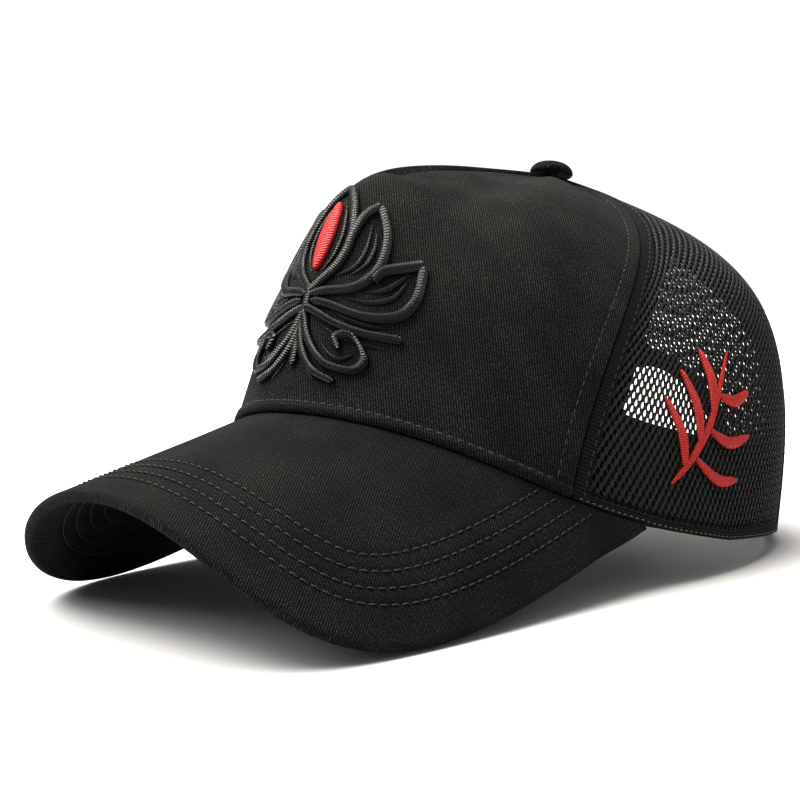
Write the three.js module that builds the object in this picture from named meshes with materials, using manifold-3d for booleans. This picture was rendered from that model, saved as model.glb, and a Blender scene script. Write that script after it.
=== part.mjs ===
// A black five-panel trucker cap standing on a table, in millimetres.
// +Z is up, the visor points to -Y and +X is the wearer's left.
import * as THREE from 'three';
import { mergeVertices } from 'three/addons/utils/BufferGeometryUtils.js';
import Module from 'manifold-3d';

const wasm = await Module();
wasm.setup();

const RADIANS = Math.PI / 180;

// Clear space between neighbouring pieces
const GAP = 0.35;
const SEAM_GAP = GAP / 1.7;

// The head opening is two half ellipses that widen a little towards the back
const HALF_WIDTH = 86.5;
const FRONT_LENGTH = 98.2;
const BACK_LENGTH = 95.9;
const EGG = -0.057;

// Seen from above, the head's middle lies this far behind the middle of the whole cap
const HEAD_SHIFT = 34.2;

// Visor: depth and half outline, and the arch that its board is bent to.
// The corners are the two inner control points of each half outline.
const VISOR_LENGTH = 64.3;
const VISOR_THICKNESS = 3.6;
const VISOR_END = 71 * RADIANS;
const VISOR_SIDE_CORNER = { x: 77.3, y: -146.7 };
const VISOR_FRONT_CORNER_X = 73.8;
const ARCH_HALF_WIDTH = 85;
const ARCH_DROP = 38.5;
const ARCH_DROP_TAPER = 0.0958;
const ARCH_CORNER_DROP = 29.4;
const VISOR_SLOPE = 0.24;
const VISOR_CURL = 0.0002;

// Hem behind the visor: flat on the table at the back, then rising forwards
const HEM_FLAT = 16;
const HEM_BEND = 8;
const HEM_RISE = Math.tan(6.8 * RADIANS);
const HEM_JOIN_FROM = 67 * RADIANS;
const HEM_JOIN_TO = 93 * RADIANS;

// Ribs of the crown, every 30 degrees from the front to the back.
// reach: the shoulder's distance out, as a share of the hem's; height: the shoulder's height;
// fullness: how far the cloth is pushed out into the shoulder.
const RIB_STEP = 30 * RADIANS;
const RIBS = [
  { reach: 0.733, height: 133.0, fullness: 3.22 },
  { reach: 0.737, height: 124.8, fullness: 1.61 },
  { reach: 0.855, height: 125.3, fullness: 1.34 },
  { reach: 0.882, height: 105.7, fullness: 1.47 },
  { reach: 1.146, height: 94.8, fullness: 1.77 },
  { reach: 1.04, height: 95.5, fullness: 1.15 },
  { reach: 0.99, height: 93.0, fullness: 0.9 },
];
const CROWN_TOP = new THREE.Vector3(0, 30.1, 130.2);
const TOP_HOLE = 4.0;

// Seams on the wearer's left, as angles from the front at the hem and at the button
const FRONT_SEAM = { hem: 57.1 * RADIANS, top: 110.3 * RADIANS, bend: 1.11 };
const REAR_SEAM = { hem: 122 * RADIANS, top: 148 * RADIANS, bend: 1.0 };
const BACK_SEAM = { hem: 180 * RADIANS, top: 180 * RADIANS, bend: 1.0 };

// Depths of the layers below the outside of the crown
const TWILL = { outer: 0, inner: 2.0 };
const NET = { outer: 0.2, inner: 1.4 };
const TAPE = { outer: 2.45, inner: 3.15 };
const STRAP = { outer: 1.75, inner: 3.1 };
const BAND = { outer: 3.5, inner: 4.9 };
const BINDING = { outer: -0.2, inner: 1.4 };
const VISOR_LEDGE = 2.75;
const LEVEL_HEIGHT = 5;

// Back opening and what closes it
const OPENING_HALF_WIDTH = 34;
const OPENING_HEIGHT = 57;
const OPENING_SQUARENESS = 0.8;
const BINDING_WIDTH = 8;
const BACK_RADIUS = 91;
const STRAP_HALF_LENGTH = 47;
const STRAP_HEIGHT = 18;
const BAND_HEIGHT = 32;
const BAND_END_X = 39;
const FRONT_TAPE_WIDTH = 22;
const BACK_TAPE_WIDTH = 10;
const TAPE_END = 12;
const PATCH_INNER = 6;
const PATCH_OUTER = 18;

// Covered button
const BUTTON_RADIUS = 7.8;
const BUTTON_HEIGHT = 4.5;
const BUTTON_SKIRT = 0.6;
const SHANK_RADIUS = 2.6;
const SHANK_LENGTH = 3.4;
const BUTTON_TILT = 12 * RADIANS;

// Raised embroidery: cord widths and heights
const CORD_WIDTH = 3.0;
const CORD_HEIGHT = 1.3;
const LEAF_HEIGHT = 0.8;

const black = (name, lightness, roughness) => new THREE.MeshStandardMaterial({
  name,
  color: new THREE.Color().setHSL(0.1, 0.05, lightness),
  roughness,
  metalness: 0,
});
const twillMaterial = black('twill', 0.06, 0.9);
const netMaterial = black('net', 0.05, 0.75);
const tapeMaterial = black('tape', 0.04, 0.85);
const bandMaterial = black('band', 0.05, 0.9);
const strapMaterial = black('strap', 0.03, 0.45);
const satinMaterial = black('satin', 0.08, 0.45);
const redMaterial = new THREE.MeshStandardMaterial({ name: 'red', color: 0xd9312c, roughness: 0.5, metalness: 0 });

const mix = (a, b, share) => a + (b - a) * share;
const smooth = (from, to, value) => THREE.MathUtils.smoothstep(value, from, to);

// A point of the head opening, seen from above, at an angle from the front
function planPoint(angle) {
  const length = Math.cos(angle) > 0 ? FRONT_LENGTH : BACK_LENGTH;
  const width = HALF_WIDTH * (1 + EGG * Math.cos(angle));
  return new THREE.Vector2(width * Math.sin(angle), -length * Math.cos(angle));
}

// The same point moved inwards, square to the opening
function planInset(angle, depth) {
  const step = 0.001;
  const along = planPoint(angle + step).sub(planPoint(angle - step)).normalize();
  const inward = new THREE.Vector2(-along.y, along.x);
  return planPoint(angle).addScaledVector(inward, depth);
}

// Height of the visor's upper side before the cap is set down on the table
function archHeight(x, y) {
  const side = (x / ARCH_HALF_WIDTH) ** 2;
  const behind = y + FRONT_LENGTH;
  const drop = (ARCH_DROP - ARCH_DROP_TAPER * behind) * side + ARCH_CORNER_DROP * side * side;
  return VISOR_SLOPE * behind + VISOR_CURL * behind * behind - drop;
}

function archNormal(x, y) {
  const step = 0.5;
  const slopeX = (archHeight(x + step, y) - archHeight(x - step, y)) / (2 * step);
  const slopeY = (archHeight(x, y + step) - archHeight(x, y - step)) / (2 * step);
  return new THREE.Vector3(-slopeX, -slopeY, 1).normalize();
}

// Half of the visor's outline, from where it leaves the crown (0) to the middle of its front (1)
const visorEnd = planPoint(VISOR_END);
const visorFront = -(FRONT_LENGTH + VISOR_LENGTH);
const visorOutline = new THREE.CubicBezierCurve(
  visorEnd,
  new THREE.Vector2(VISOR_SIDE_CORNER.x, VISOR_SIDE_CORNER.y),
  new THREE.Vector2(VISOR_FRONT_CORNER_X, visorFront),
  new THREE.Vector2(0, visorFront),
);

// The lowest points of the visor's edge stand on the table, which sets how high the visor's root is
const OUTLINE_STEPS = 240;
let lowest = Infinity;
for (let i = 0; i <= OUTLINE_STEPS; i++) {
  const point = visorOutline.getPoint(i / OUTLINE_STEPS);
  const under = archHeight(point.x, point.y) - VISOR_THICKNESS * archNormal(point.x, point.y).z;
  lowest = Math.min(lowest, under);
}
const visorHeight = (x, y) => archHeight(x, y) - lowest;

// Height of the crown's lower edge: the visor's upper side in front, then the hem
function hemHeight(angle) {
  const turn = Math.abs(angle);
  const { x, y } = planPoint(turn);
  const ahead = BACK_LENGTH - HEM_FLAT - y;
  const hem = 0.5 * (ahead + Math.hypot(ahead, HEM_BEND)) * HEM_RISE;
  return mix(visorHeight(x, y), hem, smooth(HEM_JOIN_FROM, HEM_JOIN_TO, turn));
}

// The rib at any angle, read from the table with a smooth curve through its rows
function ribAt(angle) {
  const place = Math.min(Math.abs(angle) / RIB_STEP, RIBS.length - 1);
  const index = Math.min(Math.floor(place), RIBS.length - 2);
  const share = place - index;
  const row = (i) => RIBS[i < 0 ? 1 : i > RIBS.length - 1 ? RIBS.length - 2 : i];
  const rows = [row(index - 1), row(index), row(index + 1), row(index + 2)];
  const read = (key) => {
    const [a, b, c, d] = rows.map((entry) => entry[key]);
    const bend = 2 * a - 5 * b + 4 * c - d;
    const twist = 3 * b - a - 3 * c + d;
    return 0.5 * (2 * b + (c - a) * share + bend * share ** 2 + twist * share ** 3);
  };
  return { reach: read('reach'), height: read('height'), fullness: read('fullness') };
}

// The outside of the crown: each rib is a conic curve from the hem (0) over its shoulder to the top (1)
function crownPoint(angle, along) {
  const turn = Math.abs(angle) > Math.PI ? 2 * Math.PI - Math.abs(angle) : Math.abs(angle);
  const side = Math.abs(angle) > Math.PI ? -Math.sign(angle) : Math.sign(angle) || 1;
  const rib = ribAt(turn);
  const foot = planPoint(turn);
  const a = (1 - along) ** 2;
  const b = 2 * rib.fullness * along * (1 - along);
  const c = along * along;
  const sum = a + b + c;
  const out = (a + b * rib.reach) / sum;
  return new THREE.Vector3(
    side * foot.x * out,
    foot.y * out + (c * CROWN_TOP.y) / sum,
    (a * (hemHeight(turn) + GAP) + b * rib.height + c * CROWN_TOP.z) / sum,
  );
}

function crownNormal(angle, along) {
  const step = 0.001;
  const low = Math.max(0, along - step);
  const high = Math.min(1, along + step);
  const round = crownPoint(angle + step, along).sub(crownPoint(angle - step, along));
  const up = crownPoint(angle, high).sub(crownPoint(angle, low));
  return round.cross(up).normalize();
}

// A point below the outside of the crown. All layers end level at the hem.
function crownLayer(angle, along, depth) {
  const point = crownPoint(angle, along);
  const normal = crownNormal(angle, along);
  const level = THREE.MathUtils.clamp((point.z - hemHeight(angle) - GAP) / LEVEL_HEIGHT, 0, 1);
  normal.z *= depth > 0 ? level : 1;
  return point.addScaledVector(normal, -depth);
}

// Millimetres round the crown for each radian, at a place on a rib
function millimetresPerRadian(angle, along) {
  const step = 0.001;
  return crownPoint(angle + step, along).distanceTo(crownPoint(angle - step, along)) / (2 * step);
}

// Where a rib comes within a distance of the top
function alongNearTop(angle, distance) {
  const rib = ribAt(angle);
  const foot = planPoint(Math.abs(angle));
  const shoulder = new THREE.Vector3(foot.x * rib.reach, foot.y * rib.reach, rib.height);
  return 1 - distance / (2 * rib.fullness * shoulder.distanceTo(CROWN_TOP));
}

// Where a rib is a height above its hem
function alongAtHeight(angle, height) {
  const target = hemHeight(angle) + GAP + height;
  let low = 0;
  let high = 0.7;
  for (let i = 0; i < 30; i++) {
    const middle = (low + high) / 2;
    if (crownPoint(angle, middle).z < target) {
      low = middle;
    } else {
      high = middle;
    }
  }
  return (low + high) / 2;
}

// A point of the lower crown by its height above the hem, with what hangs below the hem straight down
function wallPoint(angle, height, depth) {
  const point = crownLayer(angle, alongAtHeight(angle, Math.max(0, height)), depth);
  point.z += Math.min(0, height);
  return point;
}

const seamAngle = (seam, share) => mix(seam.hem, seam.top, share ** seam.bend);

// Rows of a panel lie closer together near the hem and the top, where the ribs bend most
const PANEL_ROWS = 16;
const rowShare = (v) => 0.5 - 0.5 * Math.cos(Math.PI * v);

// A closed sheet with two skins: outer and inner give a point for u and v from 0 to 1
function sheet(columns, rows, outer, inner) {
  const positions = [];
  for (const skin of [outer, inner]) {
    for (let i = 0; i <= columns; i++) {
      for (let j = 0; j <= rows; j++) {
        positions.push(...skin(i / columns, j / rows).toArray());
      }
    }
  }
  const at = (skin, i, j) => (skin * (columns + 1) + i) * (rows + 1) + j;
  const index = [];
  const quad = (a, b, c, d) => index.push(a, b, c, a, c, d);
  for (let i = 0; i < columns; i++) {
    for (let j = 0; j < rows; j++) {
      quad(at(0, i, j), at(0, i + 1, j), at(0, i + 1, j + 1), at(0, i, j + 1));
      quad(at(1, i, j), at(1, i, j + 1), at(1, i + 1, j + 1), at(1, i + 1, j));
    }
    quad(at(1, i, 0), at(1, i + 1, 0), at(0, i + 1, 0), at(0, i, 0));
    quad(at(0, i, rows), at(0, i + 1, rows), at(1, i + 1, rows), at(1, i, rows));
  }
  for (let j = 0; j < rows; j++) {
    quad(at(0, 0, j), at(0, 0, j + 1), at(1, 0, j + 1), at(1, 0, j));
    quad(at(1, columns, j), at(1, columns, j + 1), at(0, columns, j + 1), at(0, columns, j));
  }
  const geometry = new THREE.BufferGeometry();
  geometry.setAttribute('position', new THREE.Float32BufferAttribute(positions, 3));
  geometry.setIndex(index);
  return facingOut(geometry);
}

// Turns a closed mesh so that its faces point out
function facingOut(geometry) {
  const position = geometry.getAttribute('position');
  const index = geometry.getIndex().array;
  const [a, b, c] = [new THREE.Vector3(), new THREE.Vector3(), new THREE.Vector3()];
  let volume = 0;
  for (let i = 0; i < index.length; i += 3) {
    a.fromBufferAttribute(position, index[i]);
    b.fromBufferAttribute(position, index[i + 1]);
    c.fromBufferAttribute(position, index[i + 2]);
    volume += a.dot(b.cross(c));
  }
  if (volume < 0) {
    for (let i = 0; i < index.length; i += 3) {
      [index[i + 1], index[i + 2]] = [index[i + 2], index[i + 1]];
    }
  }
  return geometry;
}

function toSolid(geometry) {
  const merged = mergeVertices(geometry, 0.0001);
  return new wasm.Manifold(new wasm.Mesh({
    numProp: 3,
    vertProperties: new Float32Array(merged.getAttribute('position').array),
    triVerts: new Uint32Array(merged.getIndex().array),
  }));
}

function fromSolid(solid) {
  const mesh = solid.getMesh();
  const geometry = new THREE.BufferGeometry();
  geometry.setAttribute('position', new THREE.BufferAttribute(mesh.vertProperties, 3));
  geometry.setIndex(new THREE.BufferAttribute(mesh.triVerts, 1));
  return geometry;
}

function fuse(geometries) {
  return fromSolid(geometries.map(toSolid).reduce((sum, solid) => sum.add(solid)));
}

// Panel of net between two seams, on the left (side 1) or the right (side -1)
function netPanel(side, from, to, columns) {
  const skin = (depth) => (u, v) => {
    const share = rowShare(v);
    const start = seamAngle(from, share);
    const end = seamAngle(to, share);
    const along = share * alongNearTop(start, TOP_HOLE);
    const first = start + SEAM_GAP / millimetresPerRadian(start, along);
    const last = end - SEAM_GAP / millimetresPerRadian(end, along);
    const angle = mix(first, last, u);
    return crownLayer(side * angle, share * alongNearTop(angle, TOP_HOLE), depth);
  };
  return sheet(columns, PANEL_ROWS, skin(NET.outer), skin(NET.inner));
}

// Outline of the back opening, grown outwards: how far to the side, and how high
function openingOutline(turn, grow) {
  return {
    x: (OPENING_HALF_WIDTH + grow) * Math.cos(turn),
    height: (OPENING_HEIGHT + grow) * Math.sin(turn) ** OPENING_SQUARENESS,
  };
}
const backAngle = (x) => Math.PI - Math.asin(x / BACK_RADIUS);

// What is cut out of the net: the opening and the binding round it
function openingCutter() {
  const below = -6;
  const skin = (depth) => (u, v) => {
    const outline = openingOutline(Math.PI * (1 - u) * 0.999 + 0.0005 * Math.PI, BINDING_WIDTH + GAP);
    return wallPoint(backAngle(outline.x), mix(below, outline.height, v), depth);
  };
  return sheet(28, 8, skin(-5), skin(7));
}

function frontPanel() {
  const skin = (depth) => (u, v) => {
    const share = rowShare(v);
    const seam = seamAngle(FRONT_SEAM, share);
    const along = share * alongNearTop(seam, TOP_HOLE);
    const reach = seam - SEAM_GAP / millimetresPerRadian(seam, along);
    const angle = mix(-reach, reach, u);
    return crownLayer(angle, share * alongNearTop(angle, TOP_HOLE), depth);
  };
  return sheet(22, PANEL_ROWS, skin(TWILL.outer), skin(TWILL.inner));
}

function sidePanel(side) {
  return netPanel(side, FRONT_SEAM, REAR_SEAM, 11);
}

function backPanel(side) {
  const whole = toSolid(netPanel(side, REAR_SEAM, BACK_SEAM, 9));
  return fromSolid(whole.subtract(toSolid(openingCutter())));
}

// The visor reaches under the crown's edge as a ledge, and its board is bent over the arch
function visor() {
  const ledgeShare = 0.1;
  const bendInto = 15;
  const place = (u, v) => {
    const across = 2 * u - 1;
    const angle = across * VISOR_END;
    const rim = visorOutline.getPoint(1 - Math.abs(across));
    rim.x *= Math.sign(across) || 1;
    const root = planPoint(angle);
    const out = Math.max(0, (v - ledgeShare) / (1 - ledgeShare));
    const inset = planInset(angle, VISOR_LEDGE * (1 - Math.min(1, v / ledgeShare)));
    const point = out > 0 ? root.clone().lerp(rim, out) : inset;
    const top = out > 0 ? visorHeight(point.x, point.y) : hemHeight(angle);
    const away = root.distanceTo(rim) * out;
    const normal = archNormal(point.x, point.y);
    const down = new THREE.Vector3(0, 0, 1).lerp(normal, smooth(0, bendInto, away)).normalize();
    const thickness = VISOR_THICKNESS * (1 - 0.5 * smooth(0.85, 1, Math.abs(across)));
    return { upper: new THREE.Vector3(point.x, point.y, top), down, thickness };
  };
  const upper = (u, v) => place(u, v).upper;
  const lower = (u, v) => {
    const { upper: point, down, thickness } = place(u, v);
    return point.addScaledVector(down, -thickness);
  };
  return sheet(30, 9, upper, lower);
}

// The sweatband stands inside the hem and covers the visor's inner edge in front
function sweatband() {
  const reach = backAngle(BAND_END_X);
  const skin = (depth) => (u, v) => {
    const angle = mix(-reach, reach, u);
    const cover = 1 - smooth(VISOR_END - 0.2, VISOR_END + 0.1, Math.abs(angle));
    return wallPoint(angle, mix(-VISOR_THICKNESS * cover, BAND_HEIGHT, v), depth);
  };
  return sheet(42, 2, skin(BAND.outer), skin(BAND.inner));
}

// Tapes over the inside of the seams, with their bends at the panels' rows
function seamTape(side, seam, width, columns) {
  const from = seam === BACK_SEAM ? alongAtHeight(Math.PI, OPENING_HEIGHT + 3) : 0.004;
  const shares = [from];
  for (let row = 1; row <= PANEL_ROWS; row++) {
    const share = rowShare(row / PANEL_ROWS);
    if (share > from + 0.01) {
      shares.push(share);
    }
  }
  const rows = shares.length - 1;
  const skin = (depth) => (u, v) => {
    const share = shares[Math.round(v * rows)];
    const middle = seamAngle(seam, share);
    const along = share * alongNearTop(middle, TAPE_END);
    const angle = middle + ((u - 0.5) * width) / millimetresPerRadian(middle, along);
    return crownLayer(side * angle, along, depth);
  };
  return sheet(columns, rows, skin(TAPE.outer), skin(TAPE.inner));
}

// Patch behind the button that the ends of the tapes are sewn to
function tapePatch() {
  const skin = (depth) => (u, v) => {
    const angle = mix(FRONT_SEAM.top - 0.1, 2 * Math.PI - FRONT_SEAM.top + 0.1, u);
    const turn = Math.min(angle, 2 * Math.PI - angle);
    return crownLayer(angle, alongNearTop(turn, mix(PATCH_OUTER, PATCH_INNER, v)), depth);
  };
  return sheet(16, 2, skin(TAPE.outer + 0.1), skin(TAPE.inner + 0.1));
}

function seamTapes() {
  return fuse([
    seamTape(1, FRONT_SEAM, FRONT_TAPE_WIDTH, 3),
    seamTape(-1, FRONT_SEAM, FRONT_TAPE_WIDTH, 3),
    seamTape(1, REAR_SEAM, BACK_TAPE_WIDTH, 2),
    seamTape(-1, REAR_SEAM, BACK_TAPE_WIDTH, 2),
    seamTape(1, BACK_SEAM, BACK_TAPE_WIDTH, 2),
    tapePatch(),
  ]);
}

function openingBinding() {
  const skin = (depth) => (u, v) => {
    const outline = openingOutline(Math.PI * (1 - u), BINDING_WIDTH * v);
    return wallPoint(backAngle(outline.x), outline.height, depth);
  };
  return sheet(28, 1, skin(BINDING.outer), skin(BINDING.inner));
}

// The strap's lower edge is flat on the table
function backStrap() {
  const skin = (depth) => (u, v) => {
    const angle = backAngle(mix(-STRAP_HALF_LENGTH, STRAP_HALF_LENGTH, u));
    const point = wallPoint(angle, STRAP_HEIGHT * v, depth);
    point.z = STRAP_HEIGHT * v;
    return point;
  };
  return sheet(15, 1, skin(STRAP.outer), skin(STRAP.inner));
}

function button() {
  const profile = [
    new THREE.Vector2(0, -SHANK_LENGTH),
    new THREE.Vector2(SHANK_RADIUS, -SHANK_LENGTH),
    new THREE.Vector2(SHANK_RADIUS, GAP),
    new THREE.Vector2(BUTTON_RADIUS - 0.6, GAP - BUTTON_SKIRT),
  ];
  const steps = 6;
  for (let i = 0; i <= steps; i++) {
    const turn = (i / steps) * (Math.PI / 2);
    const rise = (BUTTON_HEIGHT - 0.4) * Math.sin(turn) ** 1.1;
    profile.push(new THREE.Vector2(BUTTON_RADIUS * Math.cos(turn) ** 0.7, rise + 0.4));
  }
  return new THREE.LatheGeometry(profile, 18).rotateX(Math.PI / 2);
}

// Embroidery is laid on a curved place of the crown: across and up are millimetres from its middle
const centreLine = [];
for (let i = 0; i <= 200; i++) {
  centreLine.push(crownPoint(0, i / 200));
}
function alongCentreLine(distance) {
  let walked = 0;
  for (let i = 1; i < centreLine.length; i++) {
    const step = centreLine[i].distanceTo(centreLine[i - 1]);
    if (walked + step > distance) {
      return (i - 1 + (distance - walked) / step) / 200;
    }
    walked += step;
  }
  return 1;
}
function onFront(across, up, lift) {
  const along = alongCentreLine(up);
  return crownLayer(across / millimetresPerRadian(0, along), along, TWILL.outer - lift);
}

const SPRAY_ANGLE = 89 * RADIANS;
const SPRAY_HEIGHT = 36;
function onSide(across, up, lift) {
  const along = alongAtHeight(SPRAY_ANGLE, SPRAY_HEIGHT + up);
  const angle = SPRAY_ANGLE + across / millimetresPerRadian(SPRAY_ANGLE, along);
  return crownLayer(angle, along, NET.outer - lift);
}

// A cord or leaf of embroidery along a smooth line, with its width at each share of the line
function stitchedLine(line, steps, width, height, place) {
  const curve = new THREE.SplineCurve(line.map(([x, y]) => new THREE.Vector2(x, y)));
  const skin = (lift, crown) => (u, v) => {
    const point = curve.getPoint(u);
    const tangent = curve.getTangent(u);
    const off = (v - 0.5) * width(u) * crown;
    return place(point.x - tangent.y * off, point.y + tangent.x * off, lift);
  };
  return sheet(steps, 1, skin(GAP + height, 0.55), skin(GAP, 1));
}
const cordWidth = (u) => CORD_WIDTH * (0.35 + 0.65 * Math.min(1, 6 * Math.sin(Math.PI * u)));
const leafWidth = (widest) => (u) => widest * (0.15 + 0.85 * Math.sin(Math.PI * u) ** 0.8);

// Lotus and scrolls on the front: half of the lines, across and up from the foot of the panel
const LOTUS_HALF = [
  { name: 'inner petal', steps: 7, line: [[0, 37], [7.5, 46], [9.5, 56], [6, 66], [0, 74]] },
  { name: 'second petal', steps: 7, line: [[1, 36], [14, 42], [20, 52], [19, 62], [13, 70]] },
  { name: 'second petal, inside', steps: 5, line: [[13, 70], [10.5, 65], [9.6, 59], [9.5, 54]] },
  { name: 'third petal', steps: 7, line: [[2, 34], [18, 36], [28, 43], [31.5, 52], [30, 62]] },
  { name: 'third petal, inside', steps: 5, line: [[30, 62], [25, 57], [21.5, 53], [20, 49]] },
  { name: 'sepal', steps: 7, line: [[0, 32], [12, 30], [22, 32], [32, 38]] },
  {
    name: 'scroll',
    steps: 13,
    line: [[0, 31], [4, 23], [12, 17], [21, 18], [24, 24], [19, 29], [14, 26], [16, 22.5]],
  },
  { name: 'lower leaf', steps: 6, line: [[0, 26], [3, 19], [9, 13.5], [17, 12]] },
];
const LOTUS_STEM = [[0, 39], [0, 33], [0, 26], [0, 14]];
const LOTUS_HEART = [[0, 44], [0, 56], [0, 67]];

function lotus() {
  const pieces = [stitchedLine(LOTUS_STEM, 6, cordWidth, CORD_HEIGHT, onFront)];
  LOTUS_HALF.forEach(({ line, steps }, order) => {
    for (const side of [1, -1]) {
      const mirrored = line.map(([x, y]) => [side * x, y]);
      const height = CORD_HEIGHT + 0.03 * order + 0.01 * side;
      pieces.push(stitchedLine(mirrored, steps, cordWidth, height, onFront));
    }
  });
  return fuse(pieces);
}

function lotusHeart() {
  return stitchedLine(LOTUS_HEART, 8, leafWidth(6.5), CORD_HEIGHT, onFront);
}

// Spray of slender leaves on the left side: a stem and leaves that grow out of it
const SPRAY_STEM = [[-20, -22], [-8, -12], [5, 2], [17, 22]];
const SPRAY_LEAVES = [
  { root: [-13, -16.5], tip: [-16, 4], bow: -3 },
  { root: [-8, -12], tip: [12, -18], bow: -3 },
  { root: [-4, -8], tip: [-6, 14], bow: -3 },
  { root: [1, -2.5], tip: [21, -5], bow: -3 },
  { root: [5, 2], tip: [5, 22], bow: -2.5 },
  { root: [9, 8], tip: [23, 9], bow: -2.5 },
];

function spray() {
  const pieces = [stitchedLine(SPRAY_STEM, 10, leafWidth(2.4), LEAF_HEIGHT, onSide)];
  SPRAY_LEAVES.forEach(({ root, tip, bow }, order) => {
    const from = new THREE.Vector2(...root);
    const to = new THREE.Vector2(...tip);
    const middle = from.clone().lerp(to, 0.5);
    const off = to.clone().sub(from).normalize();
    const lifted = [middle.x - off.y * bow, middle.y + off.x * bow];
    const height = LEAF_HEIGHT + 0.03 * (order + 1);
    pieces.push(stitchedLine([root, lifted, tip], 6, leafWidth(3.8), height, onSide));
  });
  return fuse(pieces);
}

const cap = new THREE.Group();
cap.position.y = HEAD_SHIFT;

function add(name, geometry, material) {
  const mesh = new THREE.Mesh(geometry, material);
  mesh.name = name;
  cap.add(mesh);
  return mesh;
}

add('front_panel', frontPanel(), twillMaterial);
add('side_panel_left', sidePanel(1), netMaterial);
add('side_panel_right', sidePanel(-1), netMaterial);
add('back_panel_left', backPanel(1), netMaterial);
add('back_panel_right', backPanel(-1), netMaterial);
add('visor', visor(), twillMaterial);
add('sweatband', sweatband(), bandMaterial);
add('seam_tapes', seamTapes(), tapeMaterial);
add('opening_binding', openingBinding(), tapeMaterial);
add('back_strap', backStrap(), strapMaterial);
add('front_motif', lotus(), satinMaterial);
add('motif_heart', lotusHeart(), redMaterial);
add('side_motif', spray(), redMaterial);

const topButton = add('button', button(), twillMaterial);
topButton.position.copy(CROWN_TOP);
topButton.rotation.x = -BUTTON_TILT;

export default cap;
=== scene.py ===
# The finished look of a black five-panel trucker cap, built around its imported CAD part.
# Sizes are in millimetres, measured from the middle of the head opening, and turned to metres for each mesh.
import math

import bpy
import numpy as np
from mathutils import Matrix


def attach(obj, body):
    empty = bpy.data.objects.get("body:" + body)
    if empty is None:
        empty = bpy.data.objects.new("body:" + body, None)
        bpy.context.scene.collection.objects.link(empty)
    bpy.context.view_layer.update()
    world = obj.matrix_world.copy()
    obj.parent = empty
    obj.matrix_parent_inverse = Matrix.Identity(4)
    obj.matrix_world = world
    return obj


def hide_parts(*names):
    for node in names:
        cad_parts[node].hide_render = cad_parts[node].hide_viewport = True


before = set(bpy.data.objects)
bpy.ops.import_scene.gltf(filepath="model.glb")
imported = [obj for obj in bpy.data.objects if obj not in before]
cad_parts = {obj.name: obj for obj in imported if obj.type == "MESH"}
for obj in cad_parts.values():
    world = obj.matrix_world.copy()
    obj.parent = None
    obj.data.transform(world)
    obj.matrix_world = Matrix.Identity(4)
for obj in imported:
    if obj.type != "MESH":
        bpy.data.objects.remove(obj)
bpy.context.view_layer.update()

# Camera, table and light. The cap is seen from its front left, with the camera only a little above the
# table. It stands on a white table before a bright backdrop, in a dimmer room, under a wide soft lamp and
# a smaller one on the left. The picture's gamma deepens its blacks.
CAMERA_AZIMUTH = math.radians(43.9)
CAMERA_RISE = math.radians(3.19)
CAMERA_ROLL = math.radians(-2.2)
CAMERA_DISTANCE = 0.4137
CAMERA_LENS = 56.23
CAMERA_SHIFT = (-0.055, -0.0263)
LOOK_AT = np.array([0.0, 0.0042, 0.060])
BACKDROP_SIDE = (-0.122, 0.990, 0.04)
BACKDROP_EDGE, BACKDROP_FULL = 0.05, 0.55
BACKDROP_LIGHT = 1.06
ROOM_LIGHT = 0.36
LAMPS_PLACE_SPREAD_STRENGTH_COLOUR = {
    "lamp above": ((-0.36, -0.10, 1.05), math.radians(56), 7.0, "#fffaf4"),
    "lamp on the left": ((-0.70, -0.85, 1.3), math.radians(40), 2.6, "#ffffff"),
}
TABLE_HALF = 6.0
PICTURE_GAMMA = 0.8


def linear(hex_colour):
    channels = [int(hex_colour[i:i + 2], 16) / 255 for i in (1, 3, 5)]
    return [c / 12.92 if c <= 0.04045 else ((c + 0.055) / 1.055) ** 2.4 for c in channels] + [1.0]


def node(tree, kind, inputs, **settings):
    made = tree.nodes.new(kind)
    for name, value in settings.items():
        setattr(made, name, value)
    for name, value in inputs.items():
        if isinstance(value, bpy.types.NodeSocket):
            tree.links.new(value, made.inputs[name])
        else:
            made.inputs[name].default_value = value
    return made


def camera_axes():
    turn = np.array([math.sin(CAMERA_AZIMUTH), -math.cos(CAMERA_AZIMUTH), 0.0])
    back = turn * math.cos(CAMERA_RISE) + np.array([0, 0, math.sin(CAMERA_RISE)])
    right = np.array([math.cos(CAMERA_AZIMUTH), math.sin(CAMERA_AZIMUTH), 0.0])
    up = np.cross(back, right)
    rolled_right = right * math.cos(CAMERA_ROLL) + up * math.sin(CAMERA_ROLL)
    rolled_up = up * math.cos(CAMERA_ROLL) - right * math.sin(CAMERA_ROLL)
    return rolled_right, rolled_up, back


# Stands a camera or lamp at a place, looking away from its back
def facing(right, up, back, place):
    rows = [[*row, place[i]] for i, row in enumerate(np.stack([right, up, back], 1))]
    return Matrix(rows + [[0, 0, 0, 1]])


def place_camera():
    right, up, back = camera_axes()
    place = LOOK_AT + back * CAMERA_DISTANCE
    data = bpy.data.cameras.new("camera")
    data.lens = CAMERA_LENS
    data.sensor_width = 36
    data.shift_x, data.shift_y = CAMERA_SHIFT
    data.clip_start = 0.01
    camera = bpy.data.objects.new("camera", data)
    camera.matrix_world = facing(right, up, back, place)
    bpy.context.collection.objects.link(camera)
    bpy.context.scene.camera = camera


def place_lamp(name, place, spread, strength, colour):
    data = bpy.data.lights.new(name, "SUN")
    data.angle = spread
    data.energy = strength
    data.color = linear(colour)[:3]
    lamp = bpy.data.objects.new(name, data)
    back = np.array(place) / np.linalg.norm(place)
    right = np.cross([0, 0, 1], back)
    right /= np.linalg.norm(right)
    up = np.cross(back, right)
    lamp.matrix_world = facing(right, up, back, place)
    bpy.context.collection.objects.link(lamp)


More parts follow.
